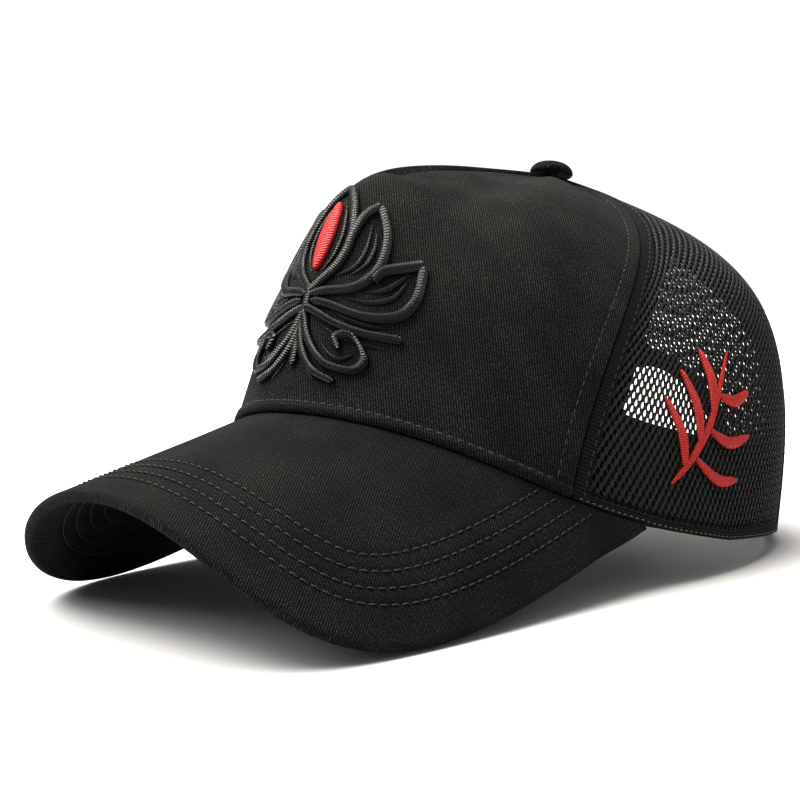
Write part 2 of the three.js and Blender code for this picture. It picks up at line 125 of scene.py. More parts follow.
def light_the_room():
    world = bpy.data.worlds.new("room")
    bpy.context.scene.world = world
    world.use_nodes = True
    tree = world.node_tree
    place = node(tree, "ShaderNodeTexCoord", {})
    towards = node(tree, "ShaderNodeVectorMath", {0: place.outputs["Generated"], 1: BACKDROP_SIDE},
                   operation="DOT_PRODUCT")
    strength = node(tree, "ShaderNodeMapRange", {
        "Value": towards.outputs["Value"], "From Min": BACKDROP_EDGE, "From Max": BACKDROP_FULL,
        "To Min": ROOM_LIGHT, "To Max": BACKDROP_LIGHT})
    air = tree.nodes["Background"]
    air.inputs["Color"].default_value = linear("#ffffff")
    tree.links.new(strength.outputs[0], air.inputs["Strength"])
    for name, lamp in LAMPS_PLACE_SPREAD_STRENGTH_COLOUR.items():
        place_lamp(name, *lamp)


def new_material(name):
    material = bpy.data.materials.new(name)
    material.use_nodes = True
    return material, material.node_tree, material.node_tree.nodes["Principled BSDF"]


def table_top():
    mesh = bpy.data.meshes.new("table")
    corners = [(x * TABLE_HALF, y * TABLE_HALF, 0) for x, y in ((-1, -1), (1, -1), (1, 1), (-1, 1))]
    mesh.from_pydata(corners, [], [(0, 1, 2, 3)])
    table = bpy.data.objects.new("table", mesh)
    bpy.context.collection.objects.link(table)
    material, _, shader = new_material("painted table, matt white")
    shader.inputs["Base Color"].default_value = linear("#cccccc")
    shader.inputs["Roughness"].default_value = 0.7
    shader.inputs["Specular IOR Level"].default_value = 0.2
    mesh.materials.append(material)


place_camera()
light_the_room()
table_top()
bpy.context.scene.view_settings.view_transform = "Standard"
bpy.context.scene.view_settings.gamma = PICTURE_GAMMA

# Front panel: one piece of heavy cotton twill that covers the whole front and folds over to the button,
# where a dart takes up its fullness. Its edges are turned under and stitched down beside the seams.
MILLIMETRE = 0.001
# The crown's plan, and the gaps between its pieces
GAP = 0.35
SEAM_GAP = GAP / 1.7
HALF_WIDTH = 86.5
FRONT_LENGTH = 98.2
BACK_LENGTH = 95.9
EGG = -0.057
HEAD_SHIFT = 34.2
# The visor's outline and arch, which the front hem follows
VISOR_LENGTH = 64.3
VISOR_THICKNESS = 3.6
VISOR_END = math.radians(71)
VISOR_SIDE_CORNER = (77.3, -146.7)
VISOR_FRONT_CORNER_X = 73.8
ARCH_HALF_WIDTH = 85
ARCH_DROP = 38.5
ARCH_DROP_TAPER = 0.0958
ARCH_CORNER_DROP = 29.4
VISOR_SLOPE = 0.24
VISOR_CURL = 0.0002
# The hem, which rises from the back and then runs over into the visor's arch
HEM_FLAT = 16
HEM_BEND = 8
HEM_RISE = math.tan(math.radians(6.8))
HEM_JOIN = (math.radians(67), math.radians(93))
# The crown's rise, given by its rib at every 30 degrees from the front
RIB_STEP = math.radians(30)
RIBS_REACH_HEIGHT_FULLNESS = np.array([
    (0.733, 133.0, 3.22),
    (0.737, 124.8, 1.61),
    (0.855, 125.3, 1.34),
    (0.882, 105.7, 1.47),
    (1.146, 94.8, 1.77),
    (1.04, 95.5, 1.15),
    (0.99, 93.0, 0.9),
])
CROWN_TOP = np.array([0, 30.1, 130.2])
TOP_HOLE = 4.0
LEVEL_HEIGHT = 5
SLOPE_STEP = 0.001
# The panel itself
FRONT_SEAM = {"hem": math.radians(57.1), "top": math.radians(110.3), "bend": 1.11}
FRONT_COLUMNS, FRONT_ROWS = 231, 191
TWILL_THICKNESS = 2.0
SEAM_STITCH, SEAM_ALLOWANCE, SEAM_ROLL = 5.3, 0.4, 0.5
SEAM_VALLEY_WIDTH_DEPTH = (0.55, 0.35)
SEAM_ROW_DEPTH_START_END = (0.05, 0.003, 0.86)
HEM_STITCH, HEM_FOLD, HEM_ROLL = 3.4, 1.0, 2.0
HEM_VALLEY_WIDTH_DEPTH = (0.6, 0.5)
FRONT_HEM_INSET, FRONT_HEM_LIFT = 0.05, 0.22
HEM_THREAD = 0.7
BUTTON_ZONE = (4, 14)
EASE = 0.10
GRAIN_ACROSS, GRAIN_BACK = 0.72, 0.69
DART_DROP = 2.6
DART_TIP, DART_FULL = 0.59, 0.67
DART_FADE = 70
DART_LEAN_BELOW, DART_LEAN_ABOVE = 400, 220
DART_CREASE_PLACE_WIDTH_DEPTH = (1.0, 0.7, 0.9)
DART_CLOSES_FROM, DART_CLOSES_OVER, DART_CLOSES_BY = 0.66, 0.34, 0.55


def mix(a, b, share):
    return a + (b - a) * share


def smooth(low, high, value):
    share = np.clip((value - low) / (high - low), 0, 1)
    return share * share * (3 - 2 * share)


def plan(angle):
    length = np.where(np.cos(angle) > 0, FRONT_LENGTH, BACK_LENGTH)
    width = HALF_WIDTH * (1 + EGG * np.cos(angle))
    return width * np.sin(angle), -length * np.cos(angle)


def turned(angle):
    turn = np.abs(angle)
    return np.where(turn > np.pi, 2 * np.pi - turn, turn)


def arch_height(x, y):
    side = (x / ARCH_HALF_WIDTH) ** 2
    behind = y + FRONT_LENGTH
    drop = (ARCH_DROP - ARCH_DROP_TAPER * behind) * side + ARCH_CORNER_DROP * side ** 2
    return VISOR_SLOPE * behind + VISOR_CURL * behind ** 2 - drop


def arch_normal(x, y):
    step = 0.5
    slope_x = (arch_height(x + step, y) - arch_height(x - step, y)) / (2 * step)
    slope_y = (arch_height(x, y + step) - arch_height(x, y - step)) / (2 * step)
    normal = np.stack([-slope_x, -slope_y, np.ones_like(slope_x)], -1)
    return normal / np.linalg.norm(normal, axis=-1, keepdims=True)


# The visor's half outline, from where it leaves the crown (0) to the middle of its front (1)
def visor_outline(share):
    end_x, end_y = plan(np.array(VISOR_END))
    front = -(FRONT_LENGTH + VISOR_LENGTH)
    corners = np.array([(end_x, end_y), VISOR_SIDE_CORNER, (VISOR_FRONT_CORNER_X, front), (0, front)])
    s = np.asarray(share, float)[..., None]
    weights = ((1 - s) ** 3, 3 * s * (1 - s) ** 2, 3 * s * s * (1 - s), s ** 3)
    return sum(weight * corner for weight, corner in zip(weights, corners))


# The visor's lowest points stand on the table
def visor_lowest():
    rim = visor_outline(np.linspace(0, 1, 241))
    x, y = rim[:, 0], rim[:, 1]
    return np.min(arch_height(x, y) - VISOR_THICKNESS * arch_normal(x, y)[:, 2])


VISOR_LOWEST = visor_lowest()


def visor_height(x, y):
    return arch_height(x, y) - VISOR_LOWEST


def hem_height(angle):
    turn = turned(angle)
    x, y = plan(turn)
    ahead = BACK_LENGTH - HEM_FLAT - y
    hem = 0.5 * (ahead + np.hypot(ahead, HEM_BEND)) * HEM_RISE
    return mix(visor_height(x, y), hem, smooth(*HEM_JOIN, turn))


# Reach, height and fullness of the crown's rib at any angle from the front
def rib_at(angle):
    table = RIBS_REACH_HEIGHT_FULLNESS
    place = turned(angle) / RIB_STEP
    index = np.clip(place.astype(int), 0, len(table) - 2)
    share = (place - index)[..., None]
    rows = np.vstack([table[1], table, table[-2]])
    a, b, c, d = (rows[index + k] for k in range(4))
    bend = 2 * a - 5 * b + 4 * c - d
    twist = 3 * b - a - 3 * c + d
    rib = 0.5 * (2 * b + (c - a) * share + bend * share ** 2 + twist * share ** 3)
    return rib[..., 0], rib[..., 1], rib[..., 2]


# The crown's outside at an angle from the front and a share of the way from the hem (0) to the top (1)
def crown(angle, along):
    angle, along = np.broadcast_arrays(np.asarray(angle, float), np.asarray(along, float))
    reach, height, fullness = rib_at(angle)
    x, y = plan(angle)
    a = (1 - along) ** 2
    b = 2 * fullness * along * (1 - along)
    c = along ** 2
    total = a + b + c
    out = (a + b * reach) / total
    z = (a * (hem_height(angle) + GAP) + b * height + c * CROWN_TOP[2]) / total
    return np.stack([x * out, y * out + c * CROWN_TOP[1] / total, z], -1)


def crown_normal(angle, along):
    step = SLOPE_STEP
    around = crown(angle + step, along) - crown(angle - step, along)
    up = crown(angle, np.minimum(1, along + step)) - crown(angle, np.maximum(0, along - step))
    normal = np.cross(around, up)
    return normal / np.linalg.norm(normal, axis=-1, keepdims=True)


# A point at a depth below the crown's outside. All layers end level at the hem.
def layer(angle, along, depth):
    angle, along, depth = np.broadcast_arrays(angle, along, np.asarray(depth, float))
    point = crown(angle, along)
    normal = crown_normal(angle, along)
    level = np.clip((point[..., 2] - hem_height(angle) - GAP) / LEVEL_HEIGHT, 0, 1)
    normal[..., 2] *= np.where(depth > 0, level, 1)
    return point - normal * depth[..., None]


def mm_per_radian(angle, along):
    across = crown(angle + SLOPE_STEP, along) - crown(angle - SLOPE_STEP, along)
    return np.linalg.norm(across, axis=-1) / (2 * SLOPE_STEP)


# Where a rib comes within a distance of the top
def near_top(angle, distance):
    reach, height, fullness = rib_at(angle)
    x, y = plan(angle)
    shoulder = np.stack([x * reach, y * reach, height], -1)
    return 1 - distance / (2 * fullness * np.linalg.norm(shoulder - CROWN_TOP, axis=-1))


def seam_angle(seam, share):
    return mix(seam["hem"], seam["top"], share ** seam["bend"])


# Rows that crowd towards both ends of a seam
def row_share(v):
    return 0.5 - 0.5 * np.cos(np.pi * v)


# How far it is to each point of a line or grid, along one of its axes
def walked(points, axis):
    steps = np.linalg.norm(np.diff(points, axis=axis), axis=-1)
    start = np.zeros_like(np.take(steps, [0], axis=axis))
    return np.cumsum(np.concatenate([start, steps], axis=axis), axis=axis)


# Makes a Blender object of a mesh (points, faces, uv) in millimetres, with the cloth's own millimetres as its
# UV map. It rides on the cap's one body, takes its material, and may replace nodes of the part.
def piece(name, mesh, material, slot, *nodes):
    points, faces, uv = mesh
    placed = (np.asarray(points, float) + [0, HEAD_SHIFT, 0]) * MILLIMETRE
    data = bpy.data.meshes.new(name)
    data.from_pydata(placed.tolist(), [], faces)
    corner = np.empty(len(data.loops), dtype=np.int32)
    data.loops.foreach_get("vertex_index", corner)
    data.uv_layers.new(name="cloth").data.foreach_set("uv", np.asarray(uv, float)[corner].ravel())
    data.shade_smooth()
    data.materials.append(material)
    made = bpy.data.objects.new(name, data)
    bpy.context.collection.objects.link(made)
    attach(made, "root")
    if nodes:
        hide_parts(*nodes)


# Joins meshes given as (points, faces, uv) into one
def joined(parts):
    points, faces, uvs, start = [], [], [], 0
    for part_points, part_faces, part_uv in parts:
        points.append(part_points)
        faces += [tuple(start + corner for corner in face) for face in part_faces]
        uvs.append(part_uv)
        start += len(part_points)
    return np.concatenate(points), faces, np.concatenate(uvs)


# A closed sheet between two grids of points
def sheet(outer, inner, uv):
    columns, rows = outer.shape[0] - 1, outer.shape[1] - 1
    points = np.concatenate([outer.reshape(-1, 3), inner.reshape(-1, 3)])
    at = np.arange(len(points)).reshape(2, columns + 1, rows + 1)
    faces = []
    for skin, turn in ((0, 1), (1, -1)):
        corners = (at[skin, :-1, :-1], at[skin, 1:, :-1], at[skin, 1:, 1:], at[skin, :-1, 1:])
        quads = np.stack(corners[::turn], -1).reshape(-1, 4)
        faces += [tuple(quad) for quad in quads.tolist()]
    around = np.concatenate([at[:, :, 0].T, at[:, -1, 1:].T, at[:, -2::-1, -1].T, at[:, 0, -2:0:-1].T])
    following = np.roll(around, -1, axis=0)
    rim = np.stack([around[:, 0], around[:, 1], following[:, 1], following[:, 0]], -1)
    faces += [tuple(quad) for quad in rim.tolist()]
    flat = uv.reshape(-1, 2)
    return points, faces, np.concatenate([flat, flat])


# How far a folded edge of cloth lies back, by the distance from its end
def rolled_edge(distance, radius):
    inside = np.clip(1 - distance / radius, 0, 1)
    return radius * (1 - np.sqrt(1 - inside ** 2))


# The valley that a row of stitches pulls into the cloth
def groove(distance, place, width, depth):
    return depth * np.exp(-((distance - place) / width) ** 2)


# Stitches along a line: each is a short thread that thins and dips into the cloth at both ends
STITCH_PITCH = 3.0
STITCH_LENGTH = 2.55
STITCH_RINGS, STITCH_SIDES = 5, 6
STITCH_TAPER = 1.8
STITCH_RISE, STITCH_DIP = 0.45, 3.1
THREAD = 0.5


def stitches(points, normals, pitch=STITCH_PITCH, length=STITCH_LENGTH, thread=THREAD):
    way = walked(points, 0)
    count = max(1, int(way[-1] / pitch))
    starts = (np.arange(count) + 0.5) * way[-1] / count
    share = np.linspace(-0.5, 0.5, STITCH_RINGS)
    places = starts[:, None] + share * length
    middle = np.stack([np.interp(places, way, points[:, k]) for k in range(3)], -1)
    ahead = np.stack([np.interp(places + 0.1, way, points[:, k]) for k in range(3)], -1)
    behind = np.stack([np.interp(places - 0.1, way, points[:, k]) for k in range(3)], -1)
    out = np.stack([np.interp(places, way, normals[:, k]) for k in range(3)], -1)
    out /= np.linalg.norm(out, axis=-1, keepdims=True)
    along = ahead - behind
    along /= np.linalg.norm(along, axis=-1, keepdims=True) + 1e-9
    side = np.cross(along, out)
    radius = thread / 2 * np.sqrt(1 - (STITCH_TAPER * share) ** 2)
    lift = thread * (STITCH_RISE - STITCH_DIP * share ** 2)
    turn = np.linspace(0, 2 * np.pi, STITCH_SIDES, endpoint=False)
    ring = np.cos(turn)[:, None] * side[..., None, :] + np.sin(turn)[:, None] * out[..., None, :]
    core = middle[..., None, :] + lift[:, None, None] * out[..., None, :]
    thread_points = core + radius[:, None, None] * ring
    at = np.arange(count * STITCH_RINGS * STITCH_SIDES).reshape(count, STITCH_RINGS, STITCH_SIDES)
    turned_at = np.roll(at, -1, axis=2)
    quads = np.stack([at[:, :-1], turned_at[:, :-1], turned_at[:, 1:], at[:, 1:]], -1).reshape(-1, 4)
    faces = [tuple(quad) for quad in quads.tolist()]
    faces += [tuple(end[::-1]) for end in at[:, 0].tolist()] + [tuple(end) for end in at[:, -1].tolist()]
    run = np.broadcast_to((share * length)[None, :, None], at.shape)
    uv = np.stack([np.broadcast_to(turn, at.shape) * radius[None, :, None], run], -1)
    return thread_points.reshape(-1, 3), faces, uv.reshape(-1, 2)


# A material with its pattern laid out by the cloth's own millimetres
def new_cloth(name):
    material, tree, shader = new_material(name)
    cloth = node(tree, "ShaderNodeUVMap", {}, uv_map="cloth").outputs["UV"]
    return material, tree, shader, cloth


# The scale that gives a wave texture one band in so many millimetres
def bands(millimetres):
    return 2 * math.pi / (20 * millimetres)


# Colours a surface between dark and light by its pattern, raises its relief and gives it its gloss
def make_surface(tree, shader, pattern, dark, light, relief, strength, depth, roughness, specular):
    colour = node(tree, "ShaderNodeMix", {0: pattern, 6: linear(dark), 7: linear(light)}, data_type="RGBA")
    tree.links.new(colour.outputs[2], shader.inputs["Base Color"])
    bump = node(tree, "ShaderNodeBump", {"Height": relief, "Strength": strength, "Distance": depth})
    tree.links.new(bump.outputs[0], shader.inputs["Normal"])
    shader.inputs["Roughness"].default_value = roughness
    shader.inputs["Specular IOR Level"].default_value = specular


# Cotton twill, woven from fine yarn and dyed black: matt, with close slanting ribs that break up into specks
# where the yarn floats. The real ribs are 0.6 mm apart and are drawn at 0.76 mm, so that they show.
TWILL_RIB = 0.76


def cotton_twill(name, light, dark, slant):
    material, tree, shader, cloth = new_cloth(name)
    leaning = node(tree, "ShaderNodeMapping", {"Vector": cloth, "Rotation": (0, 0, math.radians(slant))})
    ribs = node(tree, "ShaderNodeTexWave", {"Vector": leaning.outputs[0], "Scale": bands(TWILL_RIB),
                                            "Distortion": 0.7, "Detail": 2.0, "Detail Scale": 1.5})
    floats = node(tree, "ShaderNodeMapping", {"Vector": leaning.outputs[0], "Scale": (2.1, 1.4, 1.0)})
    yarn = node(tree, "ShaderNodeTexNoise", {"Vector": floats.outputs[0], "Scale": 1.3, "Detail": 4.0})
    specks = node(tree, "ShaderNodeMapRange", {"Value": yarn.outputs["Fac"],
                                               "From Min": 0.42, "From Max": 0.62})
    cloudy = node(tree, "ShaderNodeTexNoise", {"Vector": cloth, "Scale": 0.05, "Detail": 3.0})
    floating = node(tree, "ShaderNodeMath", {0: specks.outputs[0], 1: 1.2, 2: 0.22},
                    operation="MULTIPLY_ADD")
    weave = node(tree, "ShaderNodeMath", {0: ribs.outputs["Fac"], 1: floating.outputs[0]},
                 operation="MULTIPLY")
    shade = node(tree, "ShaderNodeMath", {0: weave.outputs[0], 1: cloudy.outputs["Fac"]},
                 operation="MULTIPLY")
    make_surface(tree, shader, shade.outputs[0], dark, light, relief=weave.outputs[0], strength=0.9,
                 depth=0.0003, roughness=0.85, specular=0.12)
    shader.inputs["Sheen Weight"].default_value = 0.01
    shader.inputs["Sheen Roughness"].default_value = 0.5
    return material


# Polyester sewing thread, spun and twisted from plies 0.3 mm apart: a little glossier and lighter than the
# cloth, so that each stitch shows. On the black thread that lighter shade is painted sheen.
THREAD_PLY = 0.3


def sewing_thread(name, colour):
    material, tree, shader, cloth = new_cloth(name)
    twist = node(tree, "ShaderNodeMapping", {"Vector": cloth, "Rotation": (0, 0, math.radians(35))})
    plies = node(tree, "ShaderNodeTexWave", {"Vector": twist.outputs[0], "Scale": bands(THREAD_PLY)})
    make_surface(tree, shader, plies.outputs["Fac"], "#090909", colour, relief=plies.outputs["Fac"],
                 strength=0.5, depth=0.0001, roughness=0.65, specular=0.3)
    return material


# How deep the cloth sinks at the dart, which lies on the wearer's left of the middle. The cloth is lowest
# just behind the dart's tip, and the dart closes towards the button.
def front_dart(side, along):
    left = side - side[len(side) // 2]
    spread = np.maximum(0, left)
    near_dart = smooth(DART_TIP - spread / DART_LEAN_BELOW, DART_FULL + spread / DART_LEAN_ABOVE, along)
    closing = DART_CLOSES_BY * np.clip((along - DART_CLOSES_FROM) / DART_CLOSES_OVER, 0, 1)
    drop = DART_DROP * smooth(-0.2, 0.9, left) * (1 - smooth(2, DART_FADE, left))
    return near_dart * (1 - closing) * (drop + groove(left, *DART_CREASE_PLACE_WIDTH_DEPTH))


# The panel's columns crowd towards its side seams, where the cloth is turned under
def front_panel_points():
    u = np.linspace(-1, 1, FRONT_COLUMNS)[:, None]
    across = 0.72 * u + 0.28 * np.sin(u * np.pi / 2)
    share = row_share(np.linspace(0, 1, FRONT_ROWS))[None]
    seam = seam_angle(FRONT_SEAM, share)
    along_seam = share * near_top(seam, TOP_HOLE)
    round_seam = mm_per_radian(seam, along_seam)
    angle = across * (seam - SEAM_GAP / round_seam)
    along = share * near_top(angle, TOP_HOLE)
    surface = crown(angle, along)
    climb = walked(surface, 1)
    side = walked(surface, 0)
    from_seam = np.minimum(side, side[-1:] - side)
    below_button = smooth(*BUTTON_ZONE, climb[:, -1:] - climb)
    allowance = SEAM_ALLOWANCE * (1 - smooth(SEAM_STITCH - 0.6, SEAM_STITCH + 0.8, from_seam))
    fold = HEM_FOLD * (1 - smooth(HEM_STITCH - 0.5, HEM_STITCH + 0.9, climb))
    sunk = groove(from_seam, SEAM_STITCH, *SEAM_VALLEY_WIDTH_DEPTH) * below_button
    sunk = sunk + groove(climb, HEM_STITCH, *HEM_VALLEY_WIDTH_DEPTH)
    rolled = rolled_edge(from_seam, SEAM_ROLL) + rolled_edge(climb, HEM_ROLL)
    dart = front_dart(side, along)
    ease = EASE * np.sin(angle * 23 + climb * 0.05) * np.sin(climb * 0.11)
    depth = rolled + sunk + dart + ease - np.maximum(allowance * below_button, fold)
    outer = layer(angle, along, depth - 0.001)
    inner = layer(angle, along, TWILL_THICKNESS + np.maximum(0, dart - 0.9))
    grain = GRAIN_ACROSS * np.abs(outer[..., 0]) + GRAIN_BACK * outer[..., 1]
    uv = np.stack([grain, climb + 0 * angle], -1)
    return outer, inner, uv


# A line beside a seam, from one share of its length to another
def seam_line(seam, offset, depth, low, high):
    share = np.linspace(low, high, 300)
    middle = seam_angle(seam, share)
    angle = middle + offset / mm_per_radian(middle, share * near_top(middle, TOP_HOLE))
    along = share * near_top(angle, TOP_HOLE)
    return layer(angle, along, depth), crown_normal(angle, along)


def mirrored(points):
    return points * [-1, 1, 1]


def front_stitches():
    points, normals = seam_line(FRONT_SEAM, -SEAM_STITCH, *SEAM_ROW_DEPTH_START_END)
    reach = FRONT_SEAM["hem"] - FRONT_HEM_INSET
    angle = np.linspace(-reach, reach, 400)
    low_rows = np.linspace(0, 0.05, 120)
    climb = walked(crown(angle[:, None], low_rows[None]), 1)
    along = np.array([np.interp(HEM_STITCH, row, low_rows) for row in climb])
    hem_line = layer(angle, along, -FRONT_HEM_LIFT)
    hem_row = stitches(hem_line, crown_normal(angle, along), thread=HEM_THREAD)
    return joined([stitches(points, normals), stitches(mirrored(points), mirrored(normals)), hem_row])


twill = cotton_twill("cotton twill, woven and dyed black", "#605e5b", "#010101", -3)
# The black thread's light shade, #52504d, is painted sheen, so that its stitches show against the twill.
black_thread_painted_sheen = sewing_thread("polyester thread, spun black", "#52504d")
piece("front_panel_twill", sheet(*front_panel_points()), twill, "twill", "front_panel")
piece("front_panel_stitches", front_stitches(), black_thread_painted_sheen, "twill")

# Side and back panels: knitted polyester net with rows of slanting oval holes. Their edges are bound with
# plain ribbed tape, and the back ones leave an arched opening.
REAR_SEAM = {"hem": math.radians(122), "top": math.radians(148), "bend": 1.0}
BACK_SEAM = {"hem": math.radians(180), "top": math.radians(180), "bend": 1.0}
NET_OUTER, NET_INNER = 0.3, 1.0
NET_COLUMN = 1.17
NET_ROW = 4.5
HOLE_HALF_WIDTH = 0.53
HOLE_HALF_HEIGHT = 1.22
HOLE_RIM_DEPTH = 0.18
HOLE_LEAN = math.radians(-14)
HOLE_TURNS = np.radians([0, 38, 74, 106, 142, 180, 218, 254, 286, 322])
NET_EDGE_COLUMNS = 1.2
NET_BARE_TOP = 7
EDGE_TAPE = 5.0
EDGE_TAPE_INNER = 1.62
EDGE_TAPE_PROUD = 0.05
EDGE_STITCH = 3.8
EDGE_ROW_DEPTH_START_END = (0.3, 0.003, 0.93)
OPENING_HALF_WIDTH = 34
OPENING_HEIGHT = 57
OPENING_SQUARENESS = 0.8
BINDING_WIDTH = 8
BINDING_LAP = 1.5
BACK_RADIUS = 91


def back_angle(x):
    return np.pi - np.arcsin(x / BACK_RADIUS)


# Where a rib is a height above its hem
def along_at_height(angle, height):
    angle, height = np.broadcast_arrays(np.asarray(angle, float), height)
    target = hem_height(angle) + GAP + height
    low, high = np.zeros_like(target), np.full_like(target, 0.7)
    for _ in range(30):
        middle = (low + high) / 2
        under = crown(angle, middle)[..., 2] < target
        low, high = np.where(under, middle, low), np.where(under, high, middle)
    return low


# A point of the lower crown at a height above the hem, with what hangs below the hem straight down
def wall(angle, height, depth):
    point = layer(angle, along_at_height(angle, np.maximum(0, height)), depth)
    point[..., 2] += np.minimum(0, height)
    return point


def wall_normal(angle, height):
    return crown_normal(angle, along_at_height(angle, np.maximum(0, height)))


# A panel's middle line between two seams: share of the way up, angle, distance from the hem, millimetres
# per radian, and half its width as an angle
def panel_middle(first_seam, last_seam):
    share = row_share(np.linspace(0, 1, 600))
    first = seam_angle(first_seam, share)
    last = seam_angle(last_seam, share)
    first = first + SEAM_GAP / mm_per_radian(first, share * near_top(first, TOP_HOLE))
    last = last - SEAM_GAP / mm_per_radian(last, share * near_top(last, TOP_HOLE))
    middle = (first + last) / 2
    along = share * near_top(middle, TOP_HOLE)
    climb = walked(crown(middle, along), 0)
    return share, middle, climb, mm_per_radian(middle, along), (last - first) / 2


# A point of a panel, by its distances across from the middle line and up from the hem
def on_panel(table, across, up, depth):
    share, middle, climb, millimetres, _ = table
    own_share = np.interp(up, climb, share)
    angle = np.interp(up, climb, middle) + across / np.interp(up, climb, millimetres)
    return layer(angle, own_share * near_top(angle, TOP_HOLE), depth)


def opening_height_at(x, grow):
    cosine = np.clip(np.abs(x) / (OPENING_HALF_WIDTH + grow), 0, 1)
    return (OPENING_HEIGHT + grow) * np.sqrt(1 - cosine ** 2) ** OPENING_SQUARENESS


# Corners of the bars round a hole, in sixths of a column and quarters of a row
HOLE_CORNERS = np.array([(4, 0), (3, 1), (2, 2), (-2, 2), (-3, 1),
                         (-4, 0), (-3, -1), (-2, -2), (2, -2), (3, -1)])


# Net with its holes cut through: a front face, a back face and a rounded rim in each hole
def net_mesh(table, has_opening):
    _, _, climb, millimetres, half = table
    height = climb[-1]
    widest = np.max(half * millimetres)
    most = int(widest / NET_COLUMN) + 1
    i, j = np.meshgrid(np.arange(-most, most + 1), np.arange(1, int(height / NET_ROW)), indexing="ij")
    i, j = i.ravel(), j.ravel()
    x = i * NET_COLUMN
    y = (j + 0.5 * (i % 2)) * NET_ROW
    room = np.interp(y, climb, half * millimetres) - NET_EDGE_COLUMNS * NET_COLUMN
    keep = (np.abs(x) < room) & (y < height - NET_BARE_TOP)
    if has_opening:
        place = on_panel(table, x, y, NET_INNER + 0 * x)
        above = place[:, 2] - hem_height(np.arctan2(place[:, 0], -place[:, 1]))
        keep &= above > opening_height_at(place[:, 0], BINDING_WIDTH - BINDING_LAP)
    i, j, x, y = i[keep], j[keep], x[keep], y[keep]
    sides = len(HOLE_CORNERS)
    sixths = 6 * i[:, None] + HOLE_CORNERS[:, 0]
    quarters = 4 * j[:, None] + 2 * (i % 2)[:, None] + HOLE_CORNERS[:, 1]
    keys = np.stack([sixths, quarters], -1)
    unique, index = np.unique(keys.reshape(-1, 2), axis=0, return_inverse=True)
    index = index.reshape(-1, sides)
    bar_x, bar_y = unique[:, 0] * NET_COLUMN / 6, unique[:, 1] * NET_ROW / 4
    rim_x = HOLE_HALF_WIDTH * np.cos(HOLE_TURNS)
    rim_y = HOLE_HALF_HEIGHT * np.sin(HOLE_TURNS)
    hole_x = x[:, None] + rim_x * math.cos(HOLE_LEAN) - rim_y * math.sin(HOLE_LEAN)
    hole_y = y[:, None] + rim_x * math.sin(HOLE_LEAN) + rim_y * math.cos(HOLE_LEAN)
    flat_x = np.concatenate([bar_x, bar_x, hole_x.ravel()])
    flat_y = np.concatenate([bar_y, bar_y, hole_y.ravel()])
    bars = len(unique)
    depth = np.concatenate([np.full(bars, NET_OUTER), np.full(bars, NET_INNER),
                            np.full(hole_x.size, NET_OUTER + HOLE_RIM_DEPTH)])
    points = on_panel(table, flat_x, flat_y, depth)
    rim = 2 * bars + np.arange(hole_x.size).reshape(-1, sides)
    after, rim_after = np.roll(index, -1, 1), np.roll(rim, -1, 1)
    front = np.stack([index, after, rim_after, rim], -1).reshape(-1, 4)
    back = np.stack([rim, rim_after, after + bars, index + bars], -1).reshape(-1, 4)
    edges = np.stack([index, after], -1).reshape(-1, 2)
    code = edges.min(1) * bars + edges.max(1)
    _, first_place, times = np.unique(code, return_index=True, return_counts=True)
    start, end = edges[first_place[times == 1]].T
    border = np.stack([end, start, start + bars, end + bars], -1)
    faces = [tuple(quad) for quad in np.concatenate([front, back, border]).tolist()]
    return points, faces, np.stack([flat_x, flat_y], -1)


# Tape along a seam, never wider than half the panel
def edge_strip(table, seam, inside):
    table_share, _, _, _, half = table
    share = row_share(np.linspace(0, 1, 120))[None]
    middle = seam_angle(seam, share)
    along = share * near_top(middle, TOP_HOLE)
    millimetres = mm_per_radian(middle, along)
    reach = np.minimum(EDGE_TAPE, np.interp(share, table_share, half) * millimetres)
    v = np.linspace(0, 1, 13)[:, None]
    offset = inside * (SEAM_GAP + v * (reach - SEAM_GAP))
    angle = middle + offset / millimetres
    own = share * near_top(angle, TOP_HOLE)
    from_edge = np.minimum(v, 1 - v) * reach
    depth = rolled_edge(from_edge, 0.3) - EDGE_TAPE_PROUD + groove(v * reach, EDGE_STITCH, 0.5, 0.2)
    outer = layer(angle, own, depth)
    inner = layer(angle, own, EDGE_TAPE_INNER - rolled_edge(from_edge, 0.7) + 0 * own)
    uv = np.stack([offset + 0 * own, walked(outer, 1)], -1)
    return sheet(outer, inner, uv)


HEM_TAPE = 3.0
HEM_TAPE_INSET, HEM_ROW_INSET = 0.004, 0.02
HEM_ROW_UP = 0.9
HEM_ROW_PITCH_LENGTH_THREAD = (2.1, 1.2, 0.34)


def hem_strip(first, last):
    angle = np.linspace(first + HEM_TAPE_INSET, last - HEM_TAPE_INSET, 90)[:, None]
    v = np.linspace(0, 1, 11)[None]
    from_edge = np.minimum(v, 1 - v) * HEM_TAPE
    rolled = rolled_edge(from_edge, 0.5) + 0 * angle
    sunk = groove(v * HEM_TAPE, HEM_ROW_UP, 0.4, 0.15)
    outer = wall(angle, v * HEM_TAPE, rolled + sunk - EDGE_TAPE_PROUD)
    inner = wall(angle, v * HEM_TAPE, EDGE_TAPE_INNER - rolled)
    uv = np.stack([walked(outer, 0), v * HEM_TAPE + 0 * angle], -1)
    return sheet(outer, inner, uv)


def hem_stitches(first, last):
    angle = np.linspace(first + HEM_ROW_INSET, last - HEM_ROW_INSET, 200)
    row, normals = wall(angle, HEM_ROW_UP, 0.02), wall_normal(angle, HEM_ROW_UP)
    return stitches(row, normals, *HEM_ROW_PITCH_LENGTH_THREAD)


# Knitted polyester, heat set: thread with a soft shine, in bars about 0.7 mm wide between the holes. The real
# loops are 0.5 mm apart and are drawn at 0.9 mm, so that they show as slanting specks along the bars.
NET_YARN = 0.9


